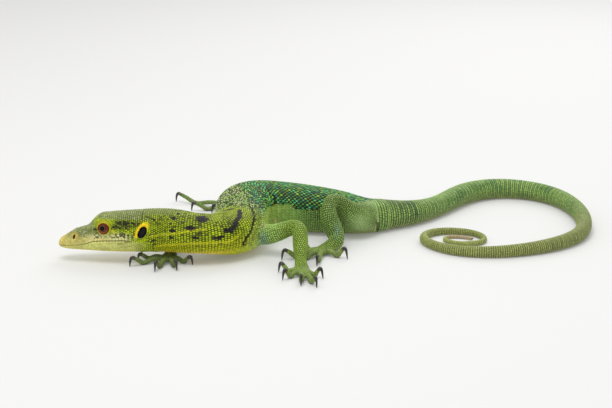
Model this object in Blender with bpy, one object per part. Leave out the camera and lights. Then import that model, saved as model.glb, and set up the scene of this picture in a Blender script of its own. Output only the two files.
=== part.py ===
"""An emerald tree monitor at life size, resting on its belly with its tail curled up beside it.

All sizes below are in millimetres. X runs from the snout to the tail's outer bend, Y runs from the
animal's left hand to its right foot, and Z is up from the floor that it rests on.
"""

import math

import bmesh
import bpy
import numpy as np

MM = 0.001
GAP = 0.3
UP = np.array([0.0, 0.0, 1.0])

# How far a resting surface would sink into the floor if it were round: this makes its flat.
SINK = 0.35

# The neck and trunk from the skull to the vent, each node with its stations:
# x, y, half width, half height and clearance below.
BODY = (
    ("neck_front", (-97.0, -39.55, 10.6, 11.8, 5.3), (-90.0, -40.0, 11.1, 11.7, 5.4)),
    ("neck_rear", (-79.0, -42.0, 11.2, 11.2, 5.3), (-69.0, -41.2, 11.6, 10.7, 4.6)),
    ("chest", (-59.5, -35.8, 13.2, 11.6, 2.2), (-53.0, -26.5, 14.6, 12.6, 0.4)),
    ("torso_front", (-50.8, -15.0, 14.7, 13.6, -SINK), (-51.4, -1.5, 15.5, 14.95, -SINK)),
    ("torso_middle", (-44.8, 11.4, 15.4, 15.2, -SINK), (-30.0, 16.2, 14.8, 14.3, -SINK)),
    ("torso_rear", (-15.5, 15.3, 14.4, 13.5, -SINK), (-1.5, 12.9, 13.8, 12.65, -SINK)),
    ("pelvis", (11.0, 11.8, 12.8, 11.45, -SINK), (22.0, 13.1, 10.8, 9.9, -SINK)),
)
# A station inside the skull, which the neck's route comes from in line with the head.
SKULL_STATION = (-104.0, -39.43, 10.3, 11.6, 5.4)
BODY_SIDES = 26
BODY_STEP = 4.1
BACK_ROUNDNESS = 2.4
BELLY_ROUNDNESS = 2.5
# How far the trunk's widest level lies above its middle, as a share of the half height.
WIDEST_RISE = 0.13
RISE_STARTS = 26.0
RISE_FULL = 60.0

# The tail's route over the floor, from the vent round its two turns to the tip.
TAIL_ROUTE = (
    (30.8, 16.8), (42.3, 22.5), (60.0, 37.8), (72.5, 54.5), (86.0, 71.5), (108.0, 82.3), (127.5, 77.6),
    (141.0, 63.8), (148.4, 42.0), (148.8, 16.0), (141.1, -7.6), (128.0, -21.6), (113.0, -30.2),
    (97.5, -35.0), (81.5, -35.7), (66.6, -31.0), (56.0, -20.4), (52.6, -8.4), (57.8, 1.8), (69.0, 5.8),
    (80.4, 3.2), (87.0, -4.8), (85.6, -12.8), (77.4, -16.0), (68.4, -13.2), (64.8, -7.6), (68.2, -2.6),
    (75.4, -2.8), (81.2, -5.6),
)
TAIL_NODES = 16
TAIL_TIP = 1.05
TAIL_TAPER = 0.0161
TAIL_ROOT_FLARE = 1.3
TAIL_FLARE_LENGTH = 16.0
TAIL_WAIST = 0.95
TAIL_WAIST_AT = 38.0
TAIL_WAIST_LENGTH = 26.0
TAIL_TALLER = 1.05

# The head, measured back from the snout's tip. Each profile is a list of (distance, value).
HEAD_TIP = np.array([-151.0, -38.6])
HEAD_LENGTH = 54.0
HEAD_YAW = math.radians(-1.0)
HEAD_SIDES = 28
HEAD_TOP = ((0, 10.3), (1.0, 12.0), (3.2, 13.6), (7.5, 16.3), (12.5, 18.6), (17.0, 20.1), (20.5, 24.0),
            (24.0, 26.4), (29.0, 27.1), (36.5, 27.7), (44.5, 28.3), (54.0, 28.6))
HEAD_BOTTOM = ((0, 8.4), (1.0, 7.6), (3.5, 6.8), (10.0, 6.3), (18.0, 6.0), (30.0, 5.6), (42.0, 5.4),
               (54.0, 5.2))
HEAD_WIDTH = ((0, 1.5), (1.0, 2.7), (3.5, 4.0), (9.0, 5.2), (14.0, 5.9), (20.0, 7.3), (26.5, 8.6),
              (35.0, 9.5), (44.0, 10.1), (54.0, 10.55))
HEAD_MIDDLE = ((0, 9.3), (9.0, 10.2), (18.0, 11.4), (27.0, 13.4), (38.0, 14.8), (54.0, 16.9))
HEAD_CROWN_ROUNDNESS = ((0, 2.0), (8.0, 2.3), (26.0, 2.7), (38.0, 2.6), (54.0, 2.15))
HEAD_CHIN_ROUNDNESS = ((0, 2.0), (8.0, 2.6), (30.0, 2.8), (54.0, 2.4))

MOUTH_LINE = ((0, 9.1), (4.0, 9.2), (10.0, 9.6), (15.5, 10.6), (20.0, 12.3), (25.0, 13.1), (32.0, 13.5),
              (38.0, 13.8), (42.0, 13.3))
MOUTH_END = 41.5
MOUTH_WIDTH = 0.55
MOUTH_DEPTH = 0.75

EYE_AT = (26.2, 20.1)
EYE_RADIUS = 4.3
EYE_OUT = 5.1
LID_OPENING = 3.35
LID_RADIUS = 0.62
NOSTRIL_AT = (9.4, 14.3)
NOSTRIL_SIZE = (0.55, 1.15, 1.5)
NOSTRIL_LEAN = math.radians(-12)
EAR_AT = (47.6, 18.6)
EAR_SIZE = (2.1, 3.45, 2.0)
EAR_LEAN = math.radians(-27)

# Swellings and hollows of the head's side: distance back, height, their spreads, and how far out.
HEAD_RELIEF = (
    ("brow", 25.5, 23.6, 5.5, 1.6, 0.75),
    ("below the eye", 27.5, 16.4, 5.0, 1.2, 0.35),
    ("in front of the eye", 18.2, 16.6, 3.4, 2.2, -0.75),
    ("nostril", 9.6, 14.2, 2.6, 1.8, 0.75),
    ("temple", 36.5, 21.8, 3.8, 2.2, -0.45),
    ("jaw muscle", 41.0, 16.0, 5.0, 3.0, 0.65),
    ("rim before the ear", 44.2, 19.0, 1.5, 3.6, 0.5),
    ("behind the ear", 52.0, 18.0, 2.4, 4.0, -0.35),
)

# Each limb's route from inside the body to the wrist or ankle: x, y, z and radius.
LIMB_SIDES = 13
LIMB_STEP = 2.8
LIMBS = {
    "arm_left": (
        ("upper_arm_left", (-46.0, -24.0, 11.0, 6.4), (-37.0, -30.0, 11.4, 5.7), (-28.6, -34.8, 14.8, 4.9),
         (-23.8, -36.8, 17.2, 4.45)),
        ("forearm_left", (-19.3, -40.6, 18.2, 4.15), (-17.9, -46.9, 14.6, 4.3), (-17.8, -54.0, 9.2, 3.8),
         (-17.6, -59.5, 5.0, 3.3)),
    ),
    "arm_right": (
        ("upper_arm_right", (-56.0, -16.0, 12.5, 5.4), (-64.0, -14.5, 13.0, 5.2), (-71.0, -14.0, 14.2, 4.6)),
        ("forearm_right", (-78.5, -15.2, 13.8, 4.4), (-83.4, -19.6, 10.2, 4.0), (-86.8, -24.8, 6.0, 3.4),
         (-88.8, -30.6, 3.2, 2.7)),
    ),
    "leg_left": (
        ("thigh_left", (20.0, 6.5, 11.0, 8.0), (14.5, 0.6, 12.6, 7.8), (7.8, -3.0, 18.6, 5.7),
         (3.8, -5.0, 22.6, 4.5)),
        ("shank_left", (-0.4, -8.9, 24.2, 4.0), (-2.0, -13.6, 21.2, 4.25), (0.1, -19.4, 12.8, 5.2),
         (2.2, -24.6, 6.4, 4.4)),
    ),
    "leg_right": (
        ("thigh_right", (16.0, 15.0, 11.0, 8.0), (7.0, 24.5, 11.5, 7.4), (-2.0, 31.5, 12.2, 5.8)),
        ("shank_right", (-13.0, 37.6, 12.6, 4.8), (-21.0, 41.5, 10.2, 4.9), (-31.0, 45.8, 7.4, 4.4),
         (-41.0, 49.8, 4.9, 3.4)),
    ),
}

# Each foot: the middle of its palm, the palm's half width and half height, and then its digits from
# the inner one outwards: direction in degrees, reach to the claw, radius, and how high the claw starts.
DIGIT_SIDES = 6
PAD_HEIGHT = 0.86
FEET = {
    "hand_left": ("arm_left", (-16.8, -66.0, 2.4), 4.3, 2.5,
                  ((163, 11.0, 1.35, 5.2), (-140, 11.2, 1.4, 5.2), (-92, 15.6, 1.45, 5.2), (-70, 19.8, 1.45, 5.2),
                   (-30, 10.4, 1.3, 5.2))),
    "hand_right": ("arm_right", (-90.4, -43.0, 1.9), 4.1, 2.0,
                   ((172, 15.4, 1.3, 3.3), (-155, 20.0, 1.35, 4.8), (-107, 17.0, 1.4, 5.0), (-70, 15.2, 1.4, 5.0),
                    (-26, 13.2, 1.3, 4.4))),
    "foot_left": ("leg_left", (-6.0, -32.0, 2.6), 4.3, 2.7,
                  ((152, 10.5, 1.35, 5.2), (-156, 21.6, 1.5, 5.6), (-134, 17.0, 1.5, 5.2), (-98, 18.2, 1.4, 5.2),
                   (-30, 13.6, 1.4, 5.8))),
    "foot_right": ("leg_right", (-57.0, 54.4, 2.4), 4.2, 2.5,
                   ((-118, 10.0, 1.3, 5.0), (-154, 14.6, 1.35, 5.0), (-176, 25.5, 1.4, 5.2), (155, 40.5, 1.35, 5.6),
                    (92, 13.0, 1.35, 5.0))),
}
# A claw is this many times as long as its start is high.
CLAW_LENGTH = 1.42
CLAW_RADIUS = 1.15
CLAW_SIDES = 6
CLAW_TIP = 0.14
CLAW_TIP_HEIGHT = -0.05


def clear_scene():
    for thing in list(bpy.data.objects):
        bpy.data.objects.remove(thing, do_unlink=True)


def material(name, colour, roughness, metallic=0.0):
    made = bpy.data.materials.new(name)
    made.use_nodes = True
    shader = made.node_tree.nodes["Principled BSDF"]
    shader.inputs["Base Color"].default_value = (*colour, 1.0)
    shader.inputs["Roughness"].default_value = roughness
    shader.inputs["Metallic"].default_value = metallic
    return made


def profile(stations, at):
    """A smooth curve through (distance, value) stations, read at one distance or an array of them."""
    xs, ys = np.array(stations, float).T
    slopes = np.gradient(ys, xs)
    at = np.clip(np.asarray(at, float), xs[0], xs[-1])
    k = np.clip(np.searchsorted(xs, at) - 1, 0, len(xs) - 2)
    width = xs[k + 1] - xs[k]
    t = (at - xs[k]) / width
    return (ys[k] * (1 + 2 * t) * (1 - t) ** 2 + ys[k + 1] * t * t * (3 - 2 * t)
            + slopes[k] * width * t * (1 - t) ** 2 - slopes[k + 1] * width * t * t * (1 - t))


class Route:
    """A smooth curve through points, measured by its length, that also carries other values."""

    def __init__(self, points):
        points = np.array(points, float)
        knots = self.run_along(points)
        fine = np.linspace(0, knots[-1], 1200)
        self.values = np.stack([natural_cubic(knots, column, fine) for column in points.T], axis=1)
        self.lengths = self.run_along(self.values)
        self.knots = np.interp(knots, fine, self.lengths)
        self.length = self.lengths[-1]

    @staticmethod
    def run_along(points):
        """The distance along a row of points, whose first three columns are their place."""
        steps = np.linalg.norm(np.diff(points[:, :3], axis=0), axis=1)
        return np.concatenate([[0], np.cumsum(steps)])

    def at(self, where):
        return np.array([np.interp(where, self.lengths, column) for column in self.values.T]).T


def natural_cubic(knots, values, at):
    """The natural cubic spline through the values at the knots."""
    count = len(knots)
    h = np.diff(knots)
    matrix = np.eye(count)
    right = np.zeros(count)
    for k in range(1, count - 1):
        matrix[k, k - 1 : k + 2] = h[k - 1], 2 * (h[k - 1] + h[k]), h[k]
        right[k] = 3 * ((values[k + 1] - values[k]) / h[k] - (values[k] - values[k - 1]) / h[k - 1])
    c = np.linalg.solve(matrix, right)
    b = np.diff(values) / h - h * (2 * c[:-1] + c[1:]) / 3
    d = np.diff(c) / (3 * h)
    k = np.clip(np.searchsorted(knots, at) - 1, 0, count - 2)
    t = at - knots[k]
    return values[k] + t * (b[k] + t * (c[k] + t * d[k]))


def superellipse(sides, half_width, top, bottom, crown, belly):
    """Points (across, up) round a section, from the top, with its own roundness above and below."""
    angles = 2 * math.pi * (np.arange(sides) + 0.5) / sides
    sine, cosine = np.sin(angles), np.cos(angles)
    power = np.where(cosine > 0, 2 / crown, 2 / belly)
    across = half_width * np.sign(sine) * np.abs(sine) ** power
    upward = np.where(cosine > 0, top, bottom) * np.sign(cosine) * np.abs(cosine) ** power
    return np.stack([across, upward], axis=1)


def loft(rings):
    """The closed mesh through rings of points that run round a forward axis, ends filled."""
    mesh = bmesh.new()
    rows = [[mesh.verts.new(tuple(point * MM)) for point in ring] for ring in rings]
    count = len(rows[0])
    for row, after in zip(rows, rows[1:]):
        for k in range(count):
            turn = (k + 1) % count
            mesh.faces.new((row[k], row[turn], after[turn], after[k]))
    mesh.faces.new(rows[0][::-1])
    mesh.faces.new(rows[-1])
    return mesh


def solid(name, mesh, finish):
    """An object from a bmesh, split into triangles so that every reader sees the same surface."""
    if mesh.calc_volume(signed=True) < 0:
        bmesh.ops.reverse_faces(mesh, faces=mesh.faces)
    bmesh.ops.triangulate(mesh, faces=mesh.faces, quad_method="SHORT_EDGE", ngon_method="EAR_CLIP")
    data = bpy.data.meshes.new(name)
    mesh.to_mesh(data)
    mesh.free()
    data.shade_smooth()
    data.materials.append(finish)
    made = bpy.data.objects.new(name, data)
    bpy.context.scene.collection.objects.link(made)
    return made


def apply_boolean(target, others, operation):
    """Applies one exact Boolean with the other objects, and removes them."""
    holder = bpy.data.collections.new("operands")
    for other in others:
        holder.objects.link(other)
    step = target.modifiers.new("join", "BOOLEAN")
    step.operand_type = "COLLECTION"
    step.collection = holder
    step.operation = operation
    step.solver = "EXACT"
    bpy.context.view_layer.update()
    evaluated = target.evaluated_get(bpy.context.evaluated_depsgraph_get())
    result = bpy.data.meshes.new_from_object(evaluated)
    target.modifiers.clear()
    target.data = result
    for other in list(others):
        bpy.data.objects.remove(other, do_unlink=True)
    bpy.data.collections.remove(holder)
    tidy_surface(target)
    return target


def tidy_surface(target):
    """Merges points closer than a hair and keeps the largest closed surface."""
    mesh = bmesh.new()
    mesh.from_mesh(target.data)
    bmesh.ops.remove_doubles(mesh, verts=mesh.verts, dist=0.02 * MM)
    bmesh.ops.dissolve_degenerate(mesh, edges=mesh.edges, dist=0.01 * MM)
    bmesh.ops.triangulate(mesh, faces=mesh.faces, quad_method="SHORT_EDGE", ngon_method="EAR_CLIP")
    left = set(mesh.faces)
    shells = []
    while left:
        seed = left.pop()
        shell, edge = {seed}, [seed]
        while edge:
            for side in edge.pop().edges:
                for face in side.link_faces:
                    if face in left:
                        left.discard(face)
                        shell.add(face)
                        edge.append(face)
        shells.append(shell)
    largest = max(shells, key=lambda shell: sum(face.calc_area() for face in shell))
    loose = [face for shell in shells if shell is not largest for face in shell]
    bmesh.ops.delete(mesh, geom=loose, context="FACES")
    lone = [vertex for vertex in mesh.verts if not vertex.link_faces]
    bmesh.ops.delete(mesh, geom=lone, context="VERTS")
    mesh.to_mesh(target.data)
    mesh.free()
    target.data.shade_smooth()


def stops(start, end, step):
    """Even stations from start to end, no further apart than the step."""
    return np.linspace(start, end, max(2, int(math.ceil((end - start) / step)) + 1))


def body_route():
    stations = [SKULL_STATION] + [station for _, *node in BODY for station in node]
    rows = [(x, y, wide, high, high + clear) for x, y, wide, high, clear in stations]
    x, y = TAIL_ROUTE[0]
    root = tail_half_height(0.0)
    rows.append((x, y, root / TAIL_TALLER, root, root - SINK))
    return Route([(x, y, middle, wide, high) for x, y, wide, high, middle in rows])


def tail_length():
    points = np.array(TAIL_ROUTE)
    return float(np.linalg.norm(np.diff(points, axis=0), axis=1).sum()) * 1.012


def tail_half_height(along):
    """Half the tail's height at a distance from the vent: a long taper with a thicker root and a waist."""
    left = np.maximum(tail_length() - along, 0)
    waist = TAIL_WAIST * np.exp(-(((along - TAIL_WAIST_AT) / TAIL_WAIST_LENGTH) ** 2))
    return TAIL_TIP + TAIL_TAPER * left + TAIL_ROOT_FLARE * np.exp(-along / TAIL_FLARE_LENGTH) - waist


def body_ring(route, where, sides, extra=0.0):
    """One upright section of the neck or trunk, flat where it meets the floor."""
    x, y, middle, wide, high = route.at(where)
    ahead = route.at(where + 0.2)[:2] - route.at(where - 0.2)[:2]
    ahead /= np.linalg.norm(ahead)
    side = np.array([-ahead[1], ahead[0], 0.0])
    rise = WIDEST_RISE * high * min(1, max(0, (where - RISE_STARTS) / (RISE_FULL - RISE_STARTS)))
    rise *= min(1, (route.length - where) / RISE_FULL)
    outline = superellipse(sides, wide + extra, high - rise + extra, high + rise + extra,
                           BACK_ROUNDNESS, BELLY_ROUNDNESS)
    ring = np.array([x, y, middle + rise]) + outline[:, :1] * side + outline[:, 1:] * UP
    ring[:, 2] = np.maximum(ring[:, 2], 0.0 if extra == 0 else -2.0)
    return ring


def build_body(route, skin):
    names = [node[0] for node in BODY]
    starts = [route.knots[1 + 2 * k] for k in range(len(BODY))] + [route.length]
    for name, start, end in zip(names, starts, starts[1:]):
        rings = [body_ring(route, s, BODY_SIDES) for s in stops(start + GAP / 2, end - GAP / 2, BODY_STEP)]
        solid(name, loft(rings), skin)


def tail_ring(route, where, sides):
    x, y = route.at(where)
    ahead = route.at(where + 0.1) - route.at(where - 0.1)
    ahead /= np.linalg.norm(ahead)
    side = np.array([-ahead[1], ahead[0], 0.0])
    high = float(tail_half_height(where))
    sink = min(SINK, 0.12 * high)
    outline = superellipse(sides, high / TAIL_TALLER, high, high, 2.0, 2.1)
    ring = np.array([x, y, high - sink]) + outline[:, :1] * side + outline[:, 1:] * UP
    ring[:, 2] = np.maximum(ring[:, 2], 0.0)
    return ring


def build_tail(skin):
    """The tail in short lengths that each bend a little, with more of them where it curls."""
    route = Route(TAIL_ROUTE)
    where = np.linspace(0, route.length, 800)
    ahead = np.gradient(route.at(where), axis=0)
    turned = np.abs(np.diff(np.unwrap(np.arctan2(ahead[:, 1], ahead[:, 0]))))
    share = np.concatenate([[0], np.cumsum(turned / math.radians(60) + np.diff(where) / 90.0)])
    cuts = np.interp(np.linspace(0, share[-1], TAIL_NODES + 1), share, where)
    for k, (start, end) in enumerate(zip(cuts, cuts[1:])):
        thick = tail_half_height(start)
        sides = 16 if thick > 5.5 else 12 if thick > 3.5 else 10 if thick > 1.9 else 8
        step = max(1.6, min(4.6, 0.85 * thick))
        last = route.length if k == TAIL_NODES - 1 else end - GAP / 2
        rings = [tail_ring(route, s, sides) for s in stops(start + GAP / 2, last, step)]
        if k == TAIL_NODES - 1:
            tip = rings[-1]
            rings.append(tip.mean(axis=0) + (tip - tip.mean(axis=0)) * 0.45 + (rings[-1] - rings[-2]).mean(axis=0) * 0.4)
        solid(f"tail_{k + 1:02d}", loft(rings), skin)


def head_axes():
    """The head's backward and leftward directions over the floor."""
    back = np.array([math.cos(HEAD_YAW), math.sin(HEAD_YAW), 0.0])
    return back, np.array([back[1], -back[0], 0.0])


def head_point(along, out, height):
    """A place on the head: distance back from the tip, distance to the animal's left, and height."""
    back, left = head_axes()
    return np.array([*HEAD_TIP, 0.0]) + along * back + out * left + height * UP


def head_half_width(along, height):
    """How far the head's side stands out at a height, before its relief."""
    middle = profile(HEAD_MIDDLE, along)
    reach = profile(HEAD_TOP, along) - middle if height > middle else middle - profile(HEAD_BOTTOM, along)
    power = profile(HEAD_CROWN_ROUNDNESS, along) if height > middle else profile(HEAD_CHIN_ROUNDNESS, along)
    share = min(abs(height - middle) / reach, 0.999)
    return float(profile(HEAD_WIDTH, along) * (1 - share**power) ** (1 / power))


def head_relief(along, height):
    """The swellings and hollows of the side at one place."""
    return sum(out * math.exp(-((along - a) / spread_a) ** 2 - ((height - h) / spread_h) ** 2)
               for _, a, h, spread_a, spread_h, out in HEAD_RELIEF)


def head_ring(along):
    middle = float(profile(HEAD_MIDDLE, along))
    outline = superellipse(HEAD_SIDES, profile(HEAD_WIDTH, along),
                           profile(HEAD_TOP, along) - middle,
                           middle - profile(HEAD_BOTTOM, along),
                           profile(HEAD_CROWN_ROUNDNESS, along), profile(HEAD_CHIN_ROUNDNESS, along))
    ring = []
    for across, upward in outline:
        sideways = abs(across) / profile(HEAD_WIDTH, along)
        out = across + math.copysign(head_relief(along, middle + upward) * min(1, 1.4 * sideways), across)
        ring.append(head_point(along, out, middle + upward))
    return np.array(ring)


def mouth_cutter(finish):
    """A thin blade that runs round the jaw, just deep enough to part the lips."""
    along = np.concatenate([np.linspace(MOUTH_END, 4.0, 11), [2.2, 1.0, 0.35]])
    edge = []
    for side in (1, -1):
        for s in along if side > 0 else along[::-1]:
            height = float(profile(MOUTH_LINE, s))
            out = head_half_width(s, height) + head_relief(s, height)
            fade = min(1.0, 0.25 + (MOUTH_END - s) / 5.0)
            edge.append((s, side * out, height, fade))
    rings = []
    for k, (s, out, height, fade) in enumerate(edge):
        before, after = edge[max(k - 1, 0)], edge[min(k + 1, len(edge) - 1)]
        run = np.array([after[0] - before[0], after[1] - before[1]])
        normal = np.array([run[1], -run[0]]) / np.linalg.norm(run)
        inner, outer = MOUTH_DEPTH * fade, 1.2
        ring = []
        for depth, rise in ((-inner, 0.08), (outer, 1.0), (outer, -1.0), (-inner, -0.08)):
            ring.append(head_point(s + normal[0] * depth, out + normal[1] * depth,
                                   height + rise * MOUTH_WIDTH * (1 if depth < 0 else 1.2)))
        rings.append(np.array(ring))
    return solid("cut_mouth", loft(rings), finish)


def ellipsoid(name, centre, axes, sizes, finish, segments=12, rings=8):
    """A closed ellipsoid with its own three axes."""
    mesh = bmesh.new()
    bmesh.ops.create_uvsphere(mesh, u_segments=segments, v_segments=rings, radius=1.0)
    frame = np.stack(axes, axis=1) * np.array(sizes)
    for vertex in mesh.verts:
        vertex.co = tuple((centre + frame @ np.array(vertex.co)) * MM)
    mesh.normal_update()
    return solid(name, mesh, finish)


def eye_centre(side):
    return head_point(EYE_AT[0], side * EYE_OUT, EYE_AT[1])


def lid(side, finish):
    """The rim of skin round one eye: a ring that lies on the eyeball and sinks into the head."""
    back, left = head_axes()
    outward = side * left
    rings = []
    count, sides = 16, 5
    inset = math.sqrt((EYE_RADIUS + LID_RADIUS * 0.7) ** 2 - LID_OPENING**2)
    for k in range(count):
        turn = 2 * math.pi * k / count
        spoke = math.cos(turn) * back + math.sin(turn) * UP
        middle = eye_centre(side) + outward * inset + spoke * (LID_OPENING + LID_RADIUS * 0.55)
        ring = []
        for j in range(sides):
            a = 2 * math.pi * j / sides
            ring.append(middle + LID_RADIUS * (1.5 * math.cos(a) * spoke + 1.1 * math.sin(a) * outward))
        rings.append(ring)
    mesh = bmesh.new()
    rows = [[mesh.verts.new(tuple(point * MM)) for point in ring] for ring in rings]
    for k in range(count):
        after = rows[(k + 1) % count]
        for j in range(sides):
            mesh.faces.new((rows[k][j], rows[k][(j + 1) % sides], after[(j + 1) % sides], after[j]))
    return solid("rim_lid", mesh, finish)


def side_pit(name, place, size, lean, side, finish):
    """The hollow of a nostril or an ear, as a leaning ellipsoid at the head's surface."""
    along, height = place
    back, left = head_axes()
    long_axis = math.cos(lean) * UP - math.sin(lean) * back
    cross_axis = math.cos(lean) * back + math.sin(lean) * UP
    surface = head_half_width(along, height) + head_relief(along, height)
    centre = head_point(along, side * (surface + 0.25), height)
    return ellipsoid(name, centre, (cross_axis, long_axis, left), size, finish)


def build_head(skin, cornea):
    along = np.concatenate([[0.0, 0.45, 1.1, 2.1], stops(3.5, HEAD_LENGTH - GAP / 2, 2.7)])
    head = solid("head", loft([head_ring(s) for s in along]), skin)
    apply_boolean(head, [lid(side, skin) for side in (1, -1)], "UNION")
    back, left = head_axes()
    cutters = [mouth_cutter(skin)]
    for side in (1, -1):
        socket = EYE_RADIUS + GAP
        cutters.append(ellipsoid("cut_eye", eye_centre(side), (back, UP, left), (socket,) * 3, skin, 14, 10))
        cutters.append(side_pit("cut_nostril", NOSTRIL_AT, NOSTRIL_SIZE, NOSTRIL_LEAN, side, skin))
        cutters.append(side_pit("cut_ear", EAR_AT, EAR_SIZE, EAR_LEAN, side, skin))
    apply_boolean(head, cutters, "DIFFERENCE")
    for side, name in ((1, "eye_left"), (-1, "eye_right")):
        ellipsoid(name, eye_centre(side), (back, left * side, UP), (EYE_RADIUS,) * 3, cornea, 16, 10)


def limb_ring(route, where, sides):
    """One section of a limb, square to its route."""
    x, y, z, wide, high = route.at(where)
    ahead = route.at(where + 0.1)[:3] - route.at(where - 0.1)[:3]
    ahead /= np.linalg.norm(ahead)
    side = np.cross(UP, ahead)
    side /= np.linalg.norm(side)
    rise = np.cross(ahead, side)
    outline = superellipse(sides, wide, high, high, 2.0, 2.4)
    ring = np.array([x, y, z]) + outline[:, :1] * side + outline[:, 1:] * rise
    ring[:, 2] = np.maximum(ring[:, 2], 0.0)
    return ring


def limb_route(limb, foot):
    """The whole limb: through its two long nodes into the palm, with half width and half height."""
    rows = [(x, y, z, r, r) for _, *stations in LIMBS[limb] for x, y, z, r in stations]
    _, palm, wide, high, _ = FEET[foot]
    wrist = np.array(rows[-1][:2])
    heading = np.array(palm[:2]) - wrist
    heading /= np.linalg.norm(heading)
    rows.append((*palm, wide, high))
    rows.append((palm[0] + 3.2 * heading[0], palm[1] + 3.2 * heading[1], palm[2] * 0.82, wide * 0.8, high * 0.8))
    return Route(rows)


def digit_route(foot, angle, reach, radius, rise):
    """One digit: out of the palm, down to its pad, and up to the root of its claw."""
    palm = np.array(FEET[foot][1])
    a = math.radians(angle)
    out = np.array([math.cos(a), math.sin(a)])
    rows = []
    for share, height, thick in ((0.0, palm[2], 1.15), (0.3, palm[2] + 0.5, 1.15), (0.55, 1.6 + radius * 0.5, 1.0),
                                 (0.72, radius * PAD_HEIGHT, 1.0), (0.86, 0.5 * (radius + rise), 0.95), (1.0, rise, 0.8)):
        x, y = palm[:2] + out * reach * share
        rows.append((x, y, height, radius * thick, radius * thick))
    return Route(rows)


def build_claw(name, route, angle, length, finish):
    """A hooked claw that leaves the end of its digit and comes down to the floor."""
    start = route.at(route.length)[:3]
    ahead = start - route.at(route.length - 0.3)[:3]
    ahead /= np.linalg.norm(ahead)
    a = math.radians(angle)
    out = np.array([math.cos(a), math.sin(a), 0.0])
    first = start + ahead * (GAP + 0.02)
    drop = first[2] - CLAW_TIP_HEIGHT - CLAW_TIP
    last = first + out * math.sqrt(max(length**2 - drop**2, 1.0)) * 0.42 - UP * drop
    knee = first + ahead * length * 0.3
    rings = []
    for t in np.linspace(0, 1, 5):
        place = (1 - t) ** 2 * first + 2 * t * (1 - t) * knee + t * t * last
        run = 2 * (1 - t) * (knee - first) + 2 * t * (last - knee)
        run /= np.linalg.norm(run)
        side = np.cross(UP, out)
        rise = np.cross(run, side)
        size = CLAW_TIP + (CLAW_RADIUS - CLAW_TIP) * (1 - t) ** 0.8
        outline = superellipse(CLAW_SIDES, size * 0.75, size, size, 2.0, 2.0)
        ring = place + outline[:, :1] * side + outline[:, 1:] * rise
        ring[:, 2] = np.maximum(ring[:, 2], 0.0)
        rings.append(ring)
    solid(name, loft(rings), finish)


def build_limb(foot, body_shell, skin, horn):
    limb, *_, digits = FEET[foot]
    route = limb_route(limb, foot)
    (upper, *first), (lower, *second) = LIMBS[limb]
    elbow = route.knots[len(first)]
    wrist = route.knots[len(first) + len(second) - 1]
    rings = [limb_ring(route, s, LIMB_SIDES) for s in stops(0.1, elbow - GAP / 2, LIMB_STEP)]
    top = solid(upper, loft(rings), skin)
    shell = body_shell.copy()
    shell.data = body_shell.data.copy()
    bpy.context.scene.collection.objects.link(shell)
    apply_boolean(top, [shell], "DIFFERENCE")
    rings = [limb_ring(route, s, LIMB_SIDES) for s in stops(elbow + GAP / 2, wrist - GAP / 2, LIMB_STEP)]
    solid(lower, loft(rings), skin)
    rings = [limb_ring(route, s, LIMB_SIDES) for s in stops(wrist + GAP / 2, route.length - 0.05, 2.0)]
    sole = solid(foot, loft(rings), skin)
    pieces = []
    for number, (angle, reach, radius, rise) in enumerate(digits, 1):
        digit = digit_route(foot, angle, reach, radius, rise)
        rings = [limb_ring(digit, s, DIGIT_SIDES) for s in stops(0.1, digit.length, 2.5)]
        pieces.append(solid(f"{foot}_digit", loft(rings), skin))
        build_claw(f"claw_{foot}_{number}", digit, angle, CLAW_LENGTH * rise, horn)
    apply_boolean(sole, pieces, "UNION")


def shell_of_body(route, skin):
    """The neck and trunk as one closed solid, swollen by the gap, to cut the limbs' roots with."""
    rings = [body_ring(route, s, BODY_SIDES, GAP) for s in stops(0.2, route.length - 0.2, BODY_STEP)]
    return solid("cut_body", loft(rings), skin)


def centre_on_floor():
    """Sets the middle of the whole animal's box over the origin, without turning or lifting it."""
    corners = np.array([vertex.co for thing in bpy.data.objects for vertex in thing.data.vertices])
    middle = (corners.min(axis=0) + corners.max(axis=0)) / 2
    for thing in bpy.data.objects:
        for vertex in thing.data.vertices:
            vertex.co.x -= middle[0]
            vertex.co.y -= middle[1]


def build():
    clear_scene()
    skin = material("lizard skin", (0.22, 0.42, 0.06), 0.55)
    horn = material("claw horn", (0.03, 0.028, 0.025), 0.3)
    cornea = material("eye", (0.16, 0.05, 0.02), 0.08)
    route = body_route()
    build_head(skin, cornea)
    build_body(route, skin)
    build_tail(skin)
    shell = shell_of_body(route, skin)
    for foot in FEET:
        build_limb(foot, shell, skin, horn)
    bpy.data.objects.remove(shell, do_unlink=True)
    centre_on_floor()


build()
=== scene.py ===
"""The looks of an emerald tree monitor: one skin over its flesh, small scales in rows, eyes and claws.

Sizes are in millimetres in the animal's own design frame, the one that its solids are drawn in, and
place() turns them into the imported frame's metres.
"""

import math

import bmesh
import bpy
import numpy as np
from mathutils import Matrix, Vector
from mathutils.bvhtree import BVHTree


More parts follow.
